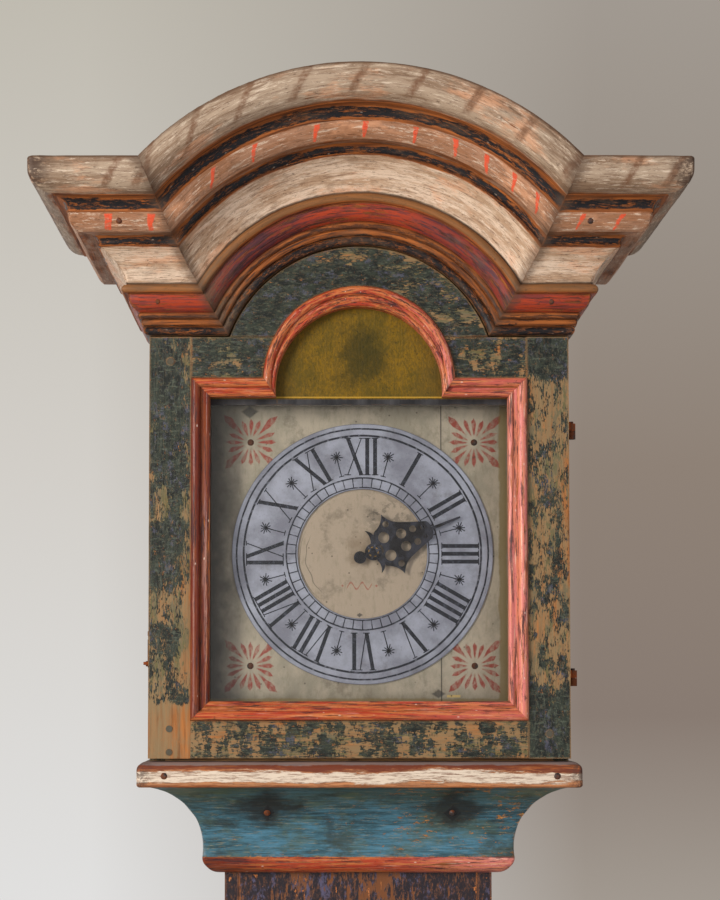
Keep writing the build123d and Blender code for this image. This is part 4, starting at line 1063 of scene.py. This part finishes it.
@dataclass(frozen=True)
class Pewter:
    """The chapter ring: cast pewter, blue-grey, with its engraved circles filled black."""

    bright: Colour = (196, 198, 216)
    dull: Colour = (150, 150, 166)
    wax: Colour = (36, 40, 54)
    stain: Colour = (128, 124, 128)
    scratch: Colour = (112, 114, 130)
    rim: Colour = (62, 62, 72)
    circles: tuple[tuple[float, float], ...] = (
        (0.1218, 0.0008), (0.1150, 0.0010), (0.0738, 0.0007), (0.0645, 0.0006)
    )
    track: tuple[float, float] = (0.0645, 0.0738)
    tick_radius: float = 0.0692
    ticks: int = 48

    def make(self) -> Material:
        """Makes the ring's finish."""
        finish = Finish("pewter", Run.UPRIGHT, 13.0)
        distance, turn = finish.polar(DIAL.centre_x, DIAL.centre_z)
        cloud = finish.noise(0.045, 1.0, 7.0, 0.62, 1.0).step(0.36, 0.64)
        fine = finish.noise(0.0016, 1.0, 4.0, 0.7, 2.0)
        finish.colour = finish.mixed(cloud, self.bright, self.dull)
        finish.roughness = cloud * 0.12 + fine * 0.25 + 0.34
        finish.height = fine * 0.00004
        finish.join("Metallic", 0.15)
        finish.flecks(self.stain, 0.45, (0.02, 1.0, 8.0, 0.7, 5.0), (0.56, 0.7))
        finish.lay(fine.step(0.56, 0.7) * 0.35, self.scratch, 0.5)
        unsteady = finish.uneven(0.0012, 0.02, 1.0, 2.0, 0.5, 3.0)
        lines: Any = 0.0
        for radius, half in self.circles:
            lines = abs(distance + unsteady - radius).step(half + 0.0003, half - 0.0003) + lines
        ticks = (turn * self.tick_radius).wave(self.tick_radius * math.tau / self.ticks)
        lines = lines + ticks.step(0.0007, 0.0003) * distance.band(*self.track, 0.0004)
        lines = lines * (finish.noise(0.004, 1.0, 5.0, 0.6, 4.0).step(0.7, 0.52) * 0.5 + 0.5)
        finish.lay(lines.clipped(), self.wax, 0.5, -0.0002)
        rim = distance.step(DIAL.outer - 0.001, DIAL.outer) + distance.step(DIAL.inner + 0.0008, DIAL.inner)
        finish.lay(rim.clipped() * 0.7, self.rim, 0.5)
        return finish.done()


@dataclass(frozen=True)
class Wax:
    """The black wax in the ring's numerals, dulled and a little broken."""

    black: Colour = (34, 38, 52)
    dull: Colour = (96, 100, 118)

    def make(self) -> Material:
        """Makes the wax."""
        finish = Finish("black_wax", Run.UPRIGHT, 16.0)
        worn = finish.noise(0.004, 1.0, 6.0, 0.7, 1.0).step(0.5, 0.68)
        finish.colour = finish.mixed(worn * 0.7, self.black, self.dull)
        finish.roughness = worn * 0.2 + 0.45
        finish.height = worn * -0.0001
        return finish.done()


@dataclass(frozen=True)
class OldGlass:
    """Thin, slightly wavy window glass."""

    def make(self) -> Material:
        """Makes the glass: clear but for its reflections."""
        finish = Finish("old_glass", Run.UPRIGHT, 14.0)
        waves = finish.noise(0.06, 1.0, 2.0, 0.4, 1.0) * 0.0006
        relief = finish.node("ShaderNodeBump", {}, {"Strength": 1.0, "Distance": 1.0, "Height": waves})
        clear = finish.node("ShaderNodeBsdfTransparent", {}, {"Color": (0.985, 0.99, 0.98, 1.0)})
        gloss = finish.node("ShaderNodeBsdfGlossy", {}, {"Roughness": 0.03, "Normal": relief})
        fresnel = finish.node("ShaderNodeFresnel", {}, {"IOR": 1.45, "Normal": relief})
        pane = finish.node("ShaderNodeMixShader", {}, {0: fresnel, 1: clear, 2: gloss})
        finish.give(finish.tree.nodes["Material Output"].inputs["Surface"], pane)
        finish.tree.nodes.remove(finish.shader)
        return finish.material


@dataclass(frozen=True)
class Hemp:
    """Laid hemp cord, with its strands twisted round it, painted darker in the hollows between strands as
    shade and lighter on their tops as if lit.
    """

    shaded_valley: Colour = (110, 88, 58)
    lit_crest: Colour = (170, 146, 104)
    rise: float = 900.0
    across: float = 700.0

    def make(self) -> Material:
        """Makes the cord's finish."""
        finish = Finish("hemp", Run.UPRIGHT, 15.0)
        strands = (finish.z * self.rise + finish.x * self.across).sum("SINE") * 0.5 + 0.5
        fuzz = finish.noise(0.001, 1.0, 3.0, 0.6, 1.0)
        # Darker between the strands and lighter on top of them: painted shade and painted highlight.
        finish.colour = finish.mixed((strands * 0.6 + fuzz * 0.5).clipped(), self.shaded_valley, self.lit_crest)
        finish.roughness = 0.85
        finish.height = strands * 0.0002 + fuzz * 0.0001
        return finish.done()


# ---- Working on a piece ----
BODY_OF = {node: body for body, nodes in FRAME["record"]["behaviour"]["bodies"].items() for node in nodes}


def alone(*pieces: Piece) -> None:
    """Selects these pieces and nothing else, the first of them active."""
    bpy.ops.object.select_all(action="DESELECT")
    for piece in pieces:
        piece.select_set(True)
    bpy.context.view_layer.objects.active = pieces[0]


def on_all(tool: Callable[..., Any], **settings: Any) -> None:
    """Runs a mesh tool on the whole of the piece that is in edit mode."""
    bpy.ops.mesh.select_all(action="SELECT")
    tool(**settings)


def made_new(tool: Callable[..., Any], name: str, **settings: Any) -> Piece:
    """Adds one of the plain meshes and names it."""
    bpy.ops.object.select_all(action="DESELECT")
    tool(**settings)
    piece = bpy.context.object
    piece.name = piece.data.name = name
    return piece


def choose(piece: Piece, test: Callable[[bpy.types.MeshPolygon], bool]) -> None:
    """Selects the faces that pass a test and nothing else, in edit mode."""
    bpy.ops.mesh.select_mode(type="FACE")
    bpy.ops.mesh.select_all(action="DESELECT")
    bpy.ops.object.mode_set(mode="OBJECT")
    for face in piece.data.polygons:
        face.select = test(face)
    bpy.ops.object.mode_set(mode="EDIT")


def applied(piece: Piece, kind: str, **settings: Any) -> None:
    """Adds a modifier with these settings and applies it."""
    modifier = piece.modifiers.new(kind.lower(), kind)
    for name, value in settings.items():
        setattr(modifier, name, value)
    bpy.ops.object.modifier_apply(modifier=modifier.name)


def joined(pieces: list[Piece]) -> Piece:
    """Joins pieces into one."""
    alone(*pieces)
    bpy.ops.object.join()
    return bpy.context.object


def settled(piece: Piece, body: str, material: Material) -> None:
    """Finishes a new piece: its place goes into its mesh, and it gets its body, slot and finish."""
    alone(piece)
    bpy.ops.object.transform_apply(location=True, rotation=True, scale=True)
    piece.data.materials.clear()
    piece.data.materials.append(material)
    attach(piece, body)
    LOG.info("%s: %s on %s", piece.name, material.name, body)


@dataclass(frozen=True)
class Corner:
    """The outer corners of a moulding that runs round the front and sides of a box."""

    face_x: float
    face_y: float
    radius: float
    shares: tuple[float, ...] = (0.25, 0.5, 0.75, 1.0)

    def depths(self) -> list[float]:
        """How far in from the outer faces the closer cuts lie."""
        return [self.radius * share for share in self.shares]

    def soften(self, piece: Piece) -> None:
        """Rounds the corners, worn by handling."""
        for vertex in piece.data.vertices:
            side = abs(vertex.co.x) - self.face_x
            front = self.face_y - vertex.co.y
            inside = max(side, front) - self.radius
            over, beside = side - inside, front - inside
            if inside < 0 or over <= 0 or beside <= 0:
                continue
            length = math.hypot(over, beside)
            if length > self.radius:
                scale = self.radius / length
                vertex.co.x = math.copysign(self.face_x + inside + over * scale, vertex.co.x)
                vertex.co.y = self.face_y - inside - beside * scale


@dataclass
class Timber:
    """A wooden node of the frame, made again with worn, rounded and unsteady edges."""

    node: str
    runs: tuple[Run, ...]
    material: Material
    spacing: float = 0.014
    round_over: float = 0.0009
    unsteady: float = 0.00045
    mitre: str = ""
    corner: Corner | None = None
    weld: float = 0.00002
    cut_weld: float = 0.00001
    sliver: float = 0.00025
    flat: float = math.radians(1)
    sharp: float = math.radians(28)
    crease: float = math.radians(32)
    arch_half: float = math.radians(104)
    arch_radius: float = 0.2
    slanting: float = 0.3
    square: float = 0.02
    clouds: tuple[tuple[float, float], ...] = ((0.011, 0.45), (0.07, 0.75))

    def build(self) -> None:
        """Makes the worn piece and lets it stand for its node."""
        piece = bpy.data.objects.new(f"worn_{self.node}", FRAME["nodes"][self.node].data.copy())
        bpy.context.scene.collection.objects.link(piece)
        alone(piece)
        bpy.ops.object.mode_set(mode="EDIT")
        on_all(bpy.ops.mesh.remove_doubles, threshold=self.weld)
        if self.mitre:
            choose(piece, self.in_mitre)
            bpy.ops.mesh.delete(type="FACE")
        on_all(bpy.ops.mesh.dissolve_limited, angle_limit=self.flat)
        for run in self.runs:
            self.cut(run)
        on_all(bpy.ops.mesh.dissolve_degenerate, threshold=self.sliver)
        on_all(bpy.ops.mesh.quads_convert_to_tris)
        bpy.ops.object.mode_set(mode="OBJECT")
        if self.corner:
            self.corner.soften(piece)
        for number, (scale, share) in enumerate(self.clouds):
            clouds = bpy.data.textures.new(f"{piece.name}_{number}", "CLOUDS")
            clouds.noise_scale = scale
            strength = 2 * self.unsteady * share
            applied(piece, "DISPLACE", texture=clouds, texture_coords="LOCAL", strength=strength)
        rounding = {"width": self.round_over, "segments": 2}
        applied(piece, "BEVEL", limit_method="ANGLE", angle_limit=self.sharp, **rounding)
        bpy.ops.object.shade_smooth_by_angle(angle=self.crease)
        applied(piece, "WEIGHTED_NORMAL", mode="FACE_AREA", keep_sharp=True)
        settled(piece, BODY_OF[self.node], self.material)
        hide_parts(self.node)

    def in_mitre(self, face: bpy.types.MeshPolygon) -> bool:
        """Whether a face lies in a mitre, where two lengths meet inside the moulding."""
        leans = {axis: abs(getattr(face.normal, axis)) for axis in "xyz"}
        return all(
            lean > self.slanting if axis in self.mitre else lean < self.square
            for axis, lean in leans.items()
        )

    def cut(self, run: Run) -> None:
        """Cuts the piece across its length at even steps, and more closely near its corners."""
        low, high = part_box(self.node)
        if run is Run.ARCHED:
            reach = self.arch_half
            steps = int(2 * reach * self.arch_radius / self.spacing)
            for step in range(steps + 1):
                turn = -reach + 2 * reach * step / steps
                self.slice((0.0, 0.0, CORNICE.arch_centre), (math.cos(turn), 0.0, -math.sin(turn)))
            return
        axis = "xyz".index(run.value)
        length = high[axis] - low[axis]
        steps = max(1, int(length / self.spacing))
        places = [low[axis] + length * step / steps for step in range(1, steps)]
        if self.corner and run is not Run.UPRIGHT:
            for depth in self.corner.depths():
                places += [low[axis] + depth, high[axis] - depth][: 2 if run is Run.ACROSS else 1]
        for place in places:
            point, normal = [0.0, 0.0, 0.0], [0.0, 0.0, 0.0]
            point[axis], normal[axis] = place, 1.0
            self.slice(tuple(point), tuple(normal))

    def slice(self, place: Point, normal: Point) -> None:
        """Cuts the whole piece along one plane."""
        on_all(bpy.ops.mesh.bisect, plane_co=place, plane_no=normal, threshold=self.cut_weld)


@dataclass(frozen=True)
class Engraving:
    """The numerals, half-hour stars and their feet, cut in the ring and filled with black wax."""

    wax: Material
    depth: float = 0.00025
    proud: float = 0.00003
    thick: float = 0.0038
    slanted: float = 0.95
    hair: float = 0.0010
    serif: float = 0.0009
    room: float = 0.0335
    star_reach: float = 0.0972
    star_ray: float = 0.0066
    star_foot: float = 0.0778
    foot_half: float = 0.0026
    rays: int = 11
    numerals: tuple[str, ...] = ("XII", "I", "II", "III", "IIII", "V", "VI", "VII", "VIII", "IX", "X", "XI")

    def stroke(self, start: tuple[float, float], end: tuple[float, float], width: float) -> Piece:
        """One stroke at the top of the ring, from one point to another.

        Args:
            start: across and out, from the ring's centre.
            end: the other end.
            width: its width.

        Returns:
            The stroke, with an edge across its middle.
        """
        run, rise = end[0] - start[0], end[1] - start[1]
        place = (
            DIAL.centre_x + (start[0] + end[0]) / 2,
            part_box("chapter_ring")[0].y - self.depth / 2 + self.proud,
            DIAL.centre_z + (start[1] + end[1]) / 2,
        )
        piece = made_new(
            bpy.ops.mesh.primitive_cube_add,
            "stroke",
            size=1.0,
            location=place,
            rotation=(0.0, -math.atan2(rise, run), 0.0),
            scale=(math.hypot(run, rise), self.depth, width),
        )
        bpy.ops.object.mode_set(mode="EDIT")
        on_all(bpy.ops.mesh.bisect, plane_co=place, plane_no=(run, 0.0, rise))
        bpy.ops.object.mode_set(mode="OBJECT")
        bpy.ops.object.transform_apply(location=True, rotation=True, scale=True)
        return piece

    def letter(self, letter: str, middle: float) -> list[Piece]:
        """The strokes of one letter, feet towards the centre."""
        half = {"I": 0.0, "V": 0.0062, "X": 0.0066}[letter]
        foot, head = (middle, DIAL.numeral_low), (middle, DIAL.numeral_high)
        left, right = (middle - half, head[1]), (middle + half, head[1])
        if letter == "I":
            strokes = [(foot, head, self.thick)]
            feet = [foot, head]
        elif letter == "V":
            thin_foot = (middle + 0.0006, foot[1])
            strokes = [(foot, left, self.thick * self.slanted), (thin_foot, right, self.hair)]
            feet = [foot, left, right]
        else:
            low_left, low_right = (middle - half, foot[1]), (middle + half, foot[1])
            strokes = [(low_right, left, self.thick * self.slanted), (low_left, right, self.hair)]
            feet = [low_right, left, low_left, right]
        made = [self.stroke(*ends) for ends in strokes]
        for across, out in feet:
            reach = self.thick * (0.85 if across <= middle or letter == "I" else 0.6)
            made.append(self.stroke((across - reach, out), (across + reach, out), self.serif))
        return made

    def numeral(self, letters: str, hour: int) -> None:
        """Cuts one numeral in its place on the ring."""
        widths = {"I": 0.0076, "V": 0.0162, "X": 0.0170}
        total = sum(widths[letter] for letter in letters)
        squeeze = min(1.0, self.room / total)
        made = []
        along = -total / 2
        for letter in letters:
            along += widths[letter] / 2
            made += self.letter(letter, along * squeeze)
            along += widths[letter] / 2
        self.turned(joined(made), f"numeral_{hour + 1}", hour)

    def star(self) -> Piece:
        """One half-hour star on its stem, at the top of the ring."""
        middle = (0.0, self.star_reach)
        made = []
        for ray in range(self.rays):
            turn = ray * math.tau / self.rays + 0.2
            reach = self.star_ray * (0.82 + 0.18 * math.sin(ray * 2.4))
            tip = (math.sin(turn) * reach, self.star_reach + math.cos(turn) * reach)
            made.append(self.stroke(middle, tip, self.hair))
        made.append(self.stroke((0.0, self.star_foot), middle, self.hair))
        ends = ((-self.foot_half, self.star_foot), (self.foot_half, self.star_foot))
        made.append(self.stroke(*ends, self.serif))
        return joined(made)

    def turned(self, piece: Piece, name: str, hour: float) -> None:
        """Turns what was cut at the top of the ring to its hour and gives it its wax."""
        piece.name = piece.data.name = name
        turn = hour * math.tau / len(self.numerals)
        sine, cosine = math.sin(turn), math.cos(turn)
        centre = Vector((DIAL.centre_x, 0.0, DIAL.centre_z))
        for vertex in piece.data.vertices:
            across, out = vertex.co.x - centre.x, vertex.co.z - centre.z
            vertex.co.x = centre.x + across * cosine + out * sine
            vertex.co.z = centre.z - across * sine + out * cosine
        settled(piece, "case", self.wax)

    def build(self) -> None:
        """Cuts the whole ring."""
        for hour, letters in enumerate(self.numerals):
            self.numeral(letters, hour)
        first = self.star()
        pattern = first.data.copy()
        for hour in range(len(self.numerals)):
            star = first
            if hour:
                star = bpy.data.objects.new("star", pattern.copy())
                bpy.context.scene.collection.objects.link(star)
            self.turned(star, f"half_hour_{hour + 1}", hour + 0.5)


@dataclass(frozen=True)
class Collet:
    """The small steel star that holds the hand, pinned at its middle."""

    reach: float = 0.0078
    waist: float = 0.0036
    thick: float = 0.0012
    gap: float = 0.0002
    pin: float = 0.0026
    points: int = 6
    turned: float = 0.2
    round_over: float = 0.0004
    sharp: float = math.radians(50)

    def build(self, material: Material) -> None:
        """Makes the star and its pin in front of the hand."""
        low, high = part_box("hour_wheel")
        middle = (low + high) / 2
        face = min(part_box("hour_hand")[0].y, low.y) - self.thick / 2 - self.gap
        star = made_new(
            bpy.ops.mesh.primitive_cylinder_add,
            "hand_collet",
            vertices=2 * self.points,
            radius=self.reach,
            depth=self.thick,
            location=(middle.x, face, middle.z),
            rotation=(math.pi / 2, self.turned, 0.0),
        )
        for vertex in star.data.vertices:
            if vertex.index // 2 % 2:
                vertex.co.xy *= self.waist / self.reach
        rounding = {"width": self.round_over, "segments": 2}
        applied(star, "BEVEL", limit_method="ANGLE", angle_limit=self.sharp, **rounding)
        settled(star, "hour_hand", material)
        pin = made_new(
            bpy.ops.mesh.primitive_uv_sphere_add,
            "hand_pin",
            segments=24,
            ring_count=12,
            radius=self.pin,
            location=(middle.x, face - self.thick / 2, middle.z),
        )
        pin.scale = (1.0, 0.5, 1.0)
        bpy.ops.object.shade_smooth()
        settled(pin, "hour_hand", material)


@dataclass(frozen=True)
class WeightLine:
    """A taut line of three strands."""

    node: str
    joint: str
    pitch: float = 0.02
    steps: int = 8
    sides: int = 18
    strands: int = 3
    hollow: float = 0.13
    crease: float = math.radians(50)

    def build(self, material: Material) -> None:
        """Makes the line in its node's place."""
        low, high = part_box(self.node)
        middle = (low + high) / 2
        length = high.z - low.z
        turns = round(length / self.pitch)
        piece = made_new(
            bpy.ops.mesh.primitive_circle_add,
            f"laid_{self.node}",
            vertices=self.sides,
            radius=(high.x - low.x) / 2,
            fill_type="NOTHING",
            location=(middle.x, middle.y, low.z),
        )
        for vertex in piece.data.vertices:
            strand = abs(math.cos(self.strands / 2 * math.atan2(vertex.co.y, vertex.co.x)))
            vertex.co.xy *= 1.0 - self.hollow * (1.0 - strand)
        applied(
            piece,
            "SCREW",
            axis="Z",
            angle=math.tau,
            steps=self.steps,
            render_steps=self.steps,
            screw_offset=length / turns,
            iterations=turns,
            use_merge_vertices=True,
        )
        alone(piece)
        bpy.ops.object.mode_set(mode="EDIT")
        for end in (0.0, length):
            bpy.ops.mesh.select_mode(type="VERT")
            bpy.ops.mesh.select_all(action="DESELECT")
            bpy.ops.object.mode_set(mode="OBJECT")
            for vertex in piece.data.vertices:
                vertex.select = abs(vertex.co.z - end) < self.pitch / self.steps / 4
            bpy.ops.object.mode_set(mode="EDIT")
            bpy.ops.mesh.edge_face_add()
        on_all(bpy.ops.mesh.normals_make_consistent, inside=False)
        bpy.ops.object.mode_set(mode="OBJECT")
        bpy.ops.object.shade_smooth_by_angle(angle=self.crease)
        settled(piece, "case", material)
        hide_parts(self.node)
        joints = {joint["name"]: joint for joint in FRAME["record"]["behaviour"]["joints"]}
        travel = joints[self.joint]["range_m"][1]
        1 - travel / length
        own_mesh(piece)


# ---- Dressing the frame's own nodes ----
def dress(material: Material, *nodes: str) -> None:
    """Assigns a finish.

    Args:
        material: the finish.
        nodes: the frame's nodes that wear it.
    """
    for name in nodes:
        mesh = FRAME["nodes"][name].data
        mesh.materials.clear()
        mesh.materials.append(material)
        LOG.info("%s: %s", name, material.name)


@dataclass
class Case:
    """The painted case: its mouldings and boards, worn, and the bare boards behind them."""

    front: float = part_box("door_stiles")[0].y
    half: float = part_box("door_stiles")[1].x
    trunk_half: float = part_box("trunk_sides")[1].x
    trunk_front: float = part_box("trunk_front_frame")[0].y

    def cornice(self) -> None:
        """The arch, the straight fronts and the returns."""
        corner = Corner(self.half, self.front, 0.0055)
        paint = CornicePaint()
        Timber("cornice_arch", (Run.ARCHED,), paint.make(Run.ARCHED), 0.012, 0.0008, 0.0006).build()
        for node, run in (("cornice_fronts", Run.ACROSS), ("cornice_returns", Run.DEEP)):
            Timber(node, (run,), paint.make(run), 0.012, 0.0008, 0.0006, corner=corner).build()

    def bands(self) -> None:
        """The torus, cove and ovolo at the waist and over the base."""
        corner = Corner(self.trunk_half, self.trunk_front, 0.0035)
        blue = BluePaint().make(Run.ACROSS)
        red = RedPaint().make(Run.ACROSS, 3.0)
        for place in ("waist", "base"):
            low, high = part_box(f"{place}_torus")
            cream = CreamPaint(low.z, high.z).make(Run.ACROSS)
            for kind, material in (("torus", cream), ("cove", blue), ("ovolo", red)):
                Timber(
                    f"{place}_{kind}", (Run.ACROSS, Run.DEEP), material, 0.013, 0.0007, 0.0005, "xy", corner
                ).build()

    def door(self) -> None:
        """The hood door's frame and mouldings."""
        green = GreenPaint()
        stile_rubs = (
            Rub(0.075, 0.1, 0.25, 1.585, 1.88),
            Rub(-0.04, 0.1, 0.25, 1.89, 2.0),
            Rub(-0.06, 0.1, 0.25, 1.50, 1.575),
            Rub(0.3, -0.25, -0.1, 1.45, 1.566, 0.02),
            Rub(0.05, -0.25, -0.1, 1.566, 1.69, 0.04),
            Rub(0.07, -0.25, -0.18, 1.74, 1.79, 0.01),
            Rub(0.05, -0.1685, -0.15, 1.6, 2.0, 0.006),
            Rub(-0.02, -0.25, -0.1, 1.70, 1.90),
        )
        rail_rubs = (Rub(0.05, low=1.5, high=1.56), Rub(0.015, 0.0, 0.2, 1.88, 2.0))
        head_rubs = (
            Rub(0.03, -0.05, 0.09, 1.985, 2.1, 0.03),
            Rub(0.03, 0.03, 0.2, 1.9, 2.1),
            Rub(-0.05, -0.2, 0.03, 1.9, 1.985),
        )
        for node, run, rubs, seed, clumps in (
            ("door_stiles", Run.UPRIGHT, stile_rubs, 1.0, 0.0),
            ("door_rails", Run.ACROSS, rail_rubs, 2.0, 0.6),
            ("door_arch_head", Run.ACROSS, head_rubs, 3.0, 0.0),
        ):
            material = green.make(f"green_{node}", run, rubs, seed, clumps)
            Timber(node, (run,), material, 0.012, 0.0008, 0.0004).build()
        red = RedPaint()
        framed = red.make(Run.FRAMED, 1.0, "door_moulding")
        Timber("door_moulding", (Run.UPRIGHT, Run.ACROSS), framed, 0.012, 0.0004, 0.00045, "xz").build()
        Timber("door_arch_moulding", (Run.ARCHED,), red.make(Run.ARCHED), 0.012, 0.0004, 0.00045).build()

    def boards(self) -> None:
        """The trunk, the base and the plinth."""
        green = GreenPaint()
        dark = DarkPaint().make(Run.UPRIGHT)
        sides = green.make("green_sides", Run.UPRIGHT, (), 4.0)
        base = green.make("green_base", Run.ACROSS, (Rub(0.03, low=0.0, high=0.12, soft=0.05),), 5.0)
        for node in ("hood_sides", "base_sides"):
            Timber(node, (Run.UPRIGHT,), sides, 0.03, 0.0008, 0.0004).build()
        for node in ("base_front", "plinth"):
            Timber(node, (Run.ACROSS,), base, 0.03, 0.0011, 0.0005).build()
        for node in ("trunk_sides", "trunk_front_frame", "trunk_door_board"):
            Timber(node, (Run.UPRIGHT,), dark, 0.03, 0.0009, 0.0004).build()
        for seed, node in enumerate(("trunk_door_moulding", "base_panel_moulding"), 5):
            framed = RedPaint().make(Run.FRAMED, seed, node)
            Timber(node, (Run.UPRIGHT, Run.ACROSS), framed, 0.02, 0.0004, 0.0004, "xz").build()

    def bare(self) -> None:
        """The boards that were never painted."""
        pine = BarePine()
        dress(pine.make(Run.UPRIGHT), "hood_back", "trunk_back", "base_back")
        dress(pine.make(Run.ACROSS), "hood_floor", "base_floor", "seat_board", "frieze_board")
        dress(pine.make(Run.DEEP), "roof_boards", "foot_blocks")

    def build(self) -> None:
        """Builds and dresses the case."""
        self.cornice()
        self.bands()
        self.door()
        self.boards()
        self.bare()


@dataclass
class Works:
    """The dial, the door's glass and panel, the ironwork and the movement."""

    def dial(self) -> None:
        """The dial board, the ring and its engraving, the lunette, the glazing strips and the glass."""
        dress(DialPaint().make(), "dial_board")
        dress(Pewter().make(), "chapter_ring")
        dress(OchrePaint().make(), "lunette_panel")
        dress(PlainPaint("black_paint", (22, 21, 24), (78, 60, 44)).make(Run.UPRIGHT), "glazing_strips")
        dress(OldGlass().make(), "door_glass")
        Engraving(Wax().make()).build()

    def metal(self) -> None:
        """Iron, steel and brass."""
        iron = Metal("iron", (70, 66, 66), (112, 60, 32), 0.45, 0.8, 0.8)
        dress(iron.make(), "case_ironwork", "hood_hook", "trunk_hinge_leaves", "nails")
        dress(Metal("rusty_iron", (96, 66, 48), (138, 68, 28), 0.5, 1.0, 0.5).make(), "door_ironwork")
        cast = Metal("cast_iron", (74, 72, 72), (92, 60, 42), 0.55, 0.6)
        dress(cast.make(), "going_weight", "strike_weight")
        steel = Metal("hand_steel", (70, 72, 84), (40, 40, 46), 0.34, 0.7)
        Collet().build(Metal("collet_steel", (104, 108, 128), (52, 54, 64), 0.34, 0.6).make())
        dress(steel.make(), "hour_hand", "pallets", "pendulum_rod", "hammer")
        brass = Metal("brass", (200, 160, 84), (132, 98, 52), 0.3, 0.4)
        wheels = ("great_wheel", "second_wheel", "escape_wheel", "strike_wheel", "hour_wheel")
        dress(brass.make(), "movement_frame", "pendulum_bob", "bell", *wheels)

    def build(self) -> None:
        """Dresses everything inside and on the case."""
        self.dial()
        self.metal()
        dress(PlainPaint("peg_wood", (72, 66, 50), (96, 66, 40)).make(Run.DEEP), "door_pegs", "turn_button")
        hemp = Hemp().make()
        for side in ("going", "strike"):
            WeightLine(f"{side}_line", f"{side}_weight_wind").build(hemp)


# ---- Camera, light and floor ----
@dataclass(frozen=True)
class Lamp:
    """One soft square lamp."""

    name: str
    place: Point
    size: float
    power: float
    colour: Colour
    aim: Point = (0.0, 0.0, 1.6)

    def hang(self) -> None:
        """Hangs the lamp, facing the point that it aims at."""
        data = bpy.data.lights.new(self.name, "AREA")
        data.size, data.energy = self.size, self.power
        data.color = linear(self.colour)[:3]
        lamp = bpy.data.objects.new(self.name, data)
        lamp.location = self.place
        away = lamp.location - Vector(self.aim)
        lamp.rotation_euler = away.to_track_quat("Z", "Y").to_euler()
        bpy.context.scene.collection.objects.link(lamp)


@dataclass(frozen=True)
class Studio:
    """The camera at the dial's height, soft light from the upper left and a pale floor."""

    eye: Point = (-0.042, -2.15, 1.581)
    focal: float = 88.6
    sensor: float = 36.0
    clip: tuple[float, float] = (0.05, 60.0)
    tilt: float = 3.18
    shift: tuple[float, float] = (0.05, 0.132)
    floor_half: float = 3.5
    floor_colour: Colour = (196, 190, 182)
    daylight: float = 0.55
    sky: Colour = (236, 238, 244)
    lamps: tuple[Lamp, ...] = (
        Lamp("window", (-2.3, -2.4, 2.3), 1.5, 128.0, (255, 251, 244)),
        Lamp("fill", (1.8, -2.8, 1.6), 2.2, 16.0, (240, 244, 255)),
    )
    wall_rise: tuple[float, float] = (-0.14, 0.34)
    wall_across: tuple[float, float] = (-0.10, 0.12)
    # The wall behind: painted light on the left, and painted shade on the right with a painted shadow of
    # the clock.
    lit_left_wall: tuple[tuple[float, Colour], ...] = (
        (0.0, (228, 228, 228)),
        (0.5, (210, 206, 200)),
        (1.0, (188, 183, 171)),
    )
    shaded_right_wall: tuple[tuple[float, Colour], ...] = (
        (0.0, (172, 165, 156)),
        (0.12, (158, 149, 140)),
        (0.27, (136, 123, 114)),
        (0.5, (142, 129, 118)),
        (0.75, (154, 145, 136)),
        (1.0, (164, 157, 149)),
    )

    def camera(self) -> None:
        """Places the camera."""
        data = bpy.data.cameras.new("camera")
        data.lens, data.sensor_width = self.focal, self.sensor
        data.shift_x, data.shift_y = self.shift
        data.clip_start, data.clip_end = self.clip
        camera = bpy.data.objects.new("camera", data)
        camera.location = self.eye
        camera.rotation_euler = (math.radians(90 + self.tilt), 0.0, 0.0)
        bpy.context.scene.collection.objects.link(camera)
        bpy.context.scene.camera = camera

    def world(self) -> None:
        """An even pale room: its light on the object, and behind it a wall tone painted with light and
        shade, lighter to the left and low down, darker to the right and darkest at about the camera's
        height, where it stands for the clock's shadow on the wall.
        """
        world = bpy.data.worlds.new("room")
        bpy.context.scene.world = world
        world.use_nodes = True
        room = Graph(world.node_tree)
        light = world.node_tree.nodes["Background"]
        light.inputs["Color"].default_value = linear(self.sky)
        light.inputs["Strength"].default_value = self.daylight
        place = room.node("ShaderNodeTexCoord", {}, {}, "Generated")
        rise, across = (
            room.node(
                "ShaderNodeMapRange",
                {},
                {
                    "Value": room.node("ShaderNodeSeparateXYZ", {}, {"Vector": place}, axis),
                    "From Min": low,
                    "From Max": high,
                },
            )
            for axis, (low, high) in (("Z", self.wall_rise), ("X", self.wall_across))
        )
        sides = {6: room.ramp(rise, self.lit_left_wall), 7: room.ramp(rise, self.shaded_right_wall)}
        tone = room.node("ShaderNodeMix", {"data_type": "RGBA"}, {0: across, **sides}, 2)
        wall = room.node("ShaderNodeBackground", {}, {"Color": tone, "Strength": 1.0})
        seen = room.node("ShaderNodeLightPath", {}, {}, "Is Camera Ray")
        for name in ("Is Glossy Ray", "Is Transmission Ray"):
            seen = seen.sum("MAXIMUM", room.node("ShaderNodeLightPath", {}, {}, name))
        lights = {0: seen, 1: Socket(room, light.outputs[0]), 2: wall}
        both = room.node("ShaderNodeMixShader", {}, lights)
        room.give(world.node_tree.nodes["World Output"].inputs["Surface"], both)

    def floor(self) -> None:
        """A plain pale floor that keeps the clock's shadow."""
        size = 2 * self.floor_half
        floor = made_new(bpy.ops.mesh.primitive_plane_add, "floor", size=size, location=(0.0, 0.0, 0.0))
        finish = Finish("floor", Run.ACROSS)
        finish.colour = linear(self.floor_colour)
        finish.roughness = 0.8
        floor.data.materials.append(finish.done())

    def build(self) -> None:
        """Sets the whole studio."""
        self.camera()
        self.world()
        self.floor()
        for lamp in self.lamps:
            lamp.hang()
        bpy.context.scene.view_settings.view_transform = "Standard"


def main() -> None:
    """Builds the scene, one group of pieces after another."""
    logging.basicConfig(level=logging.INFO, format="%(name)s: %(message)s")
    Studio().build()
    Case().build()
    Works().build()


if __name__ == "__main__":
    main()
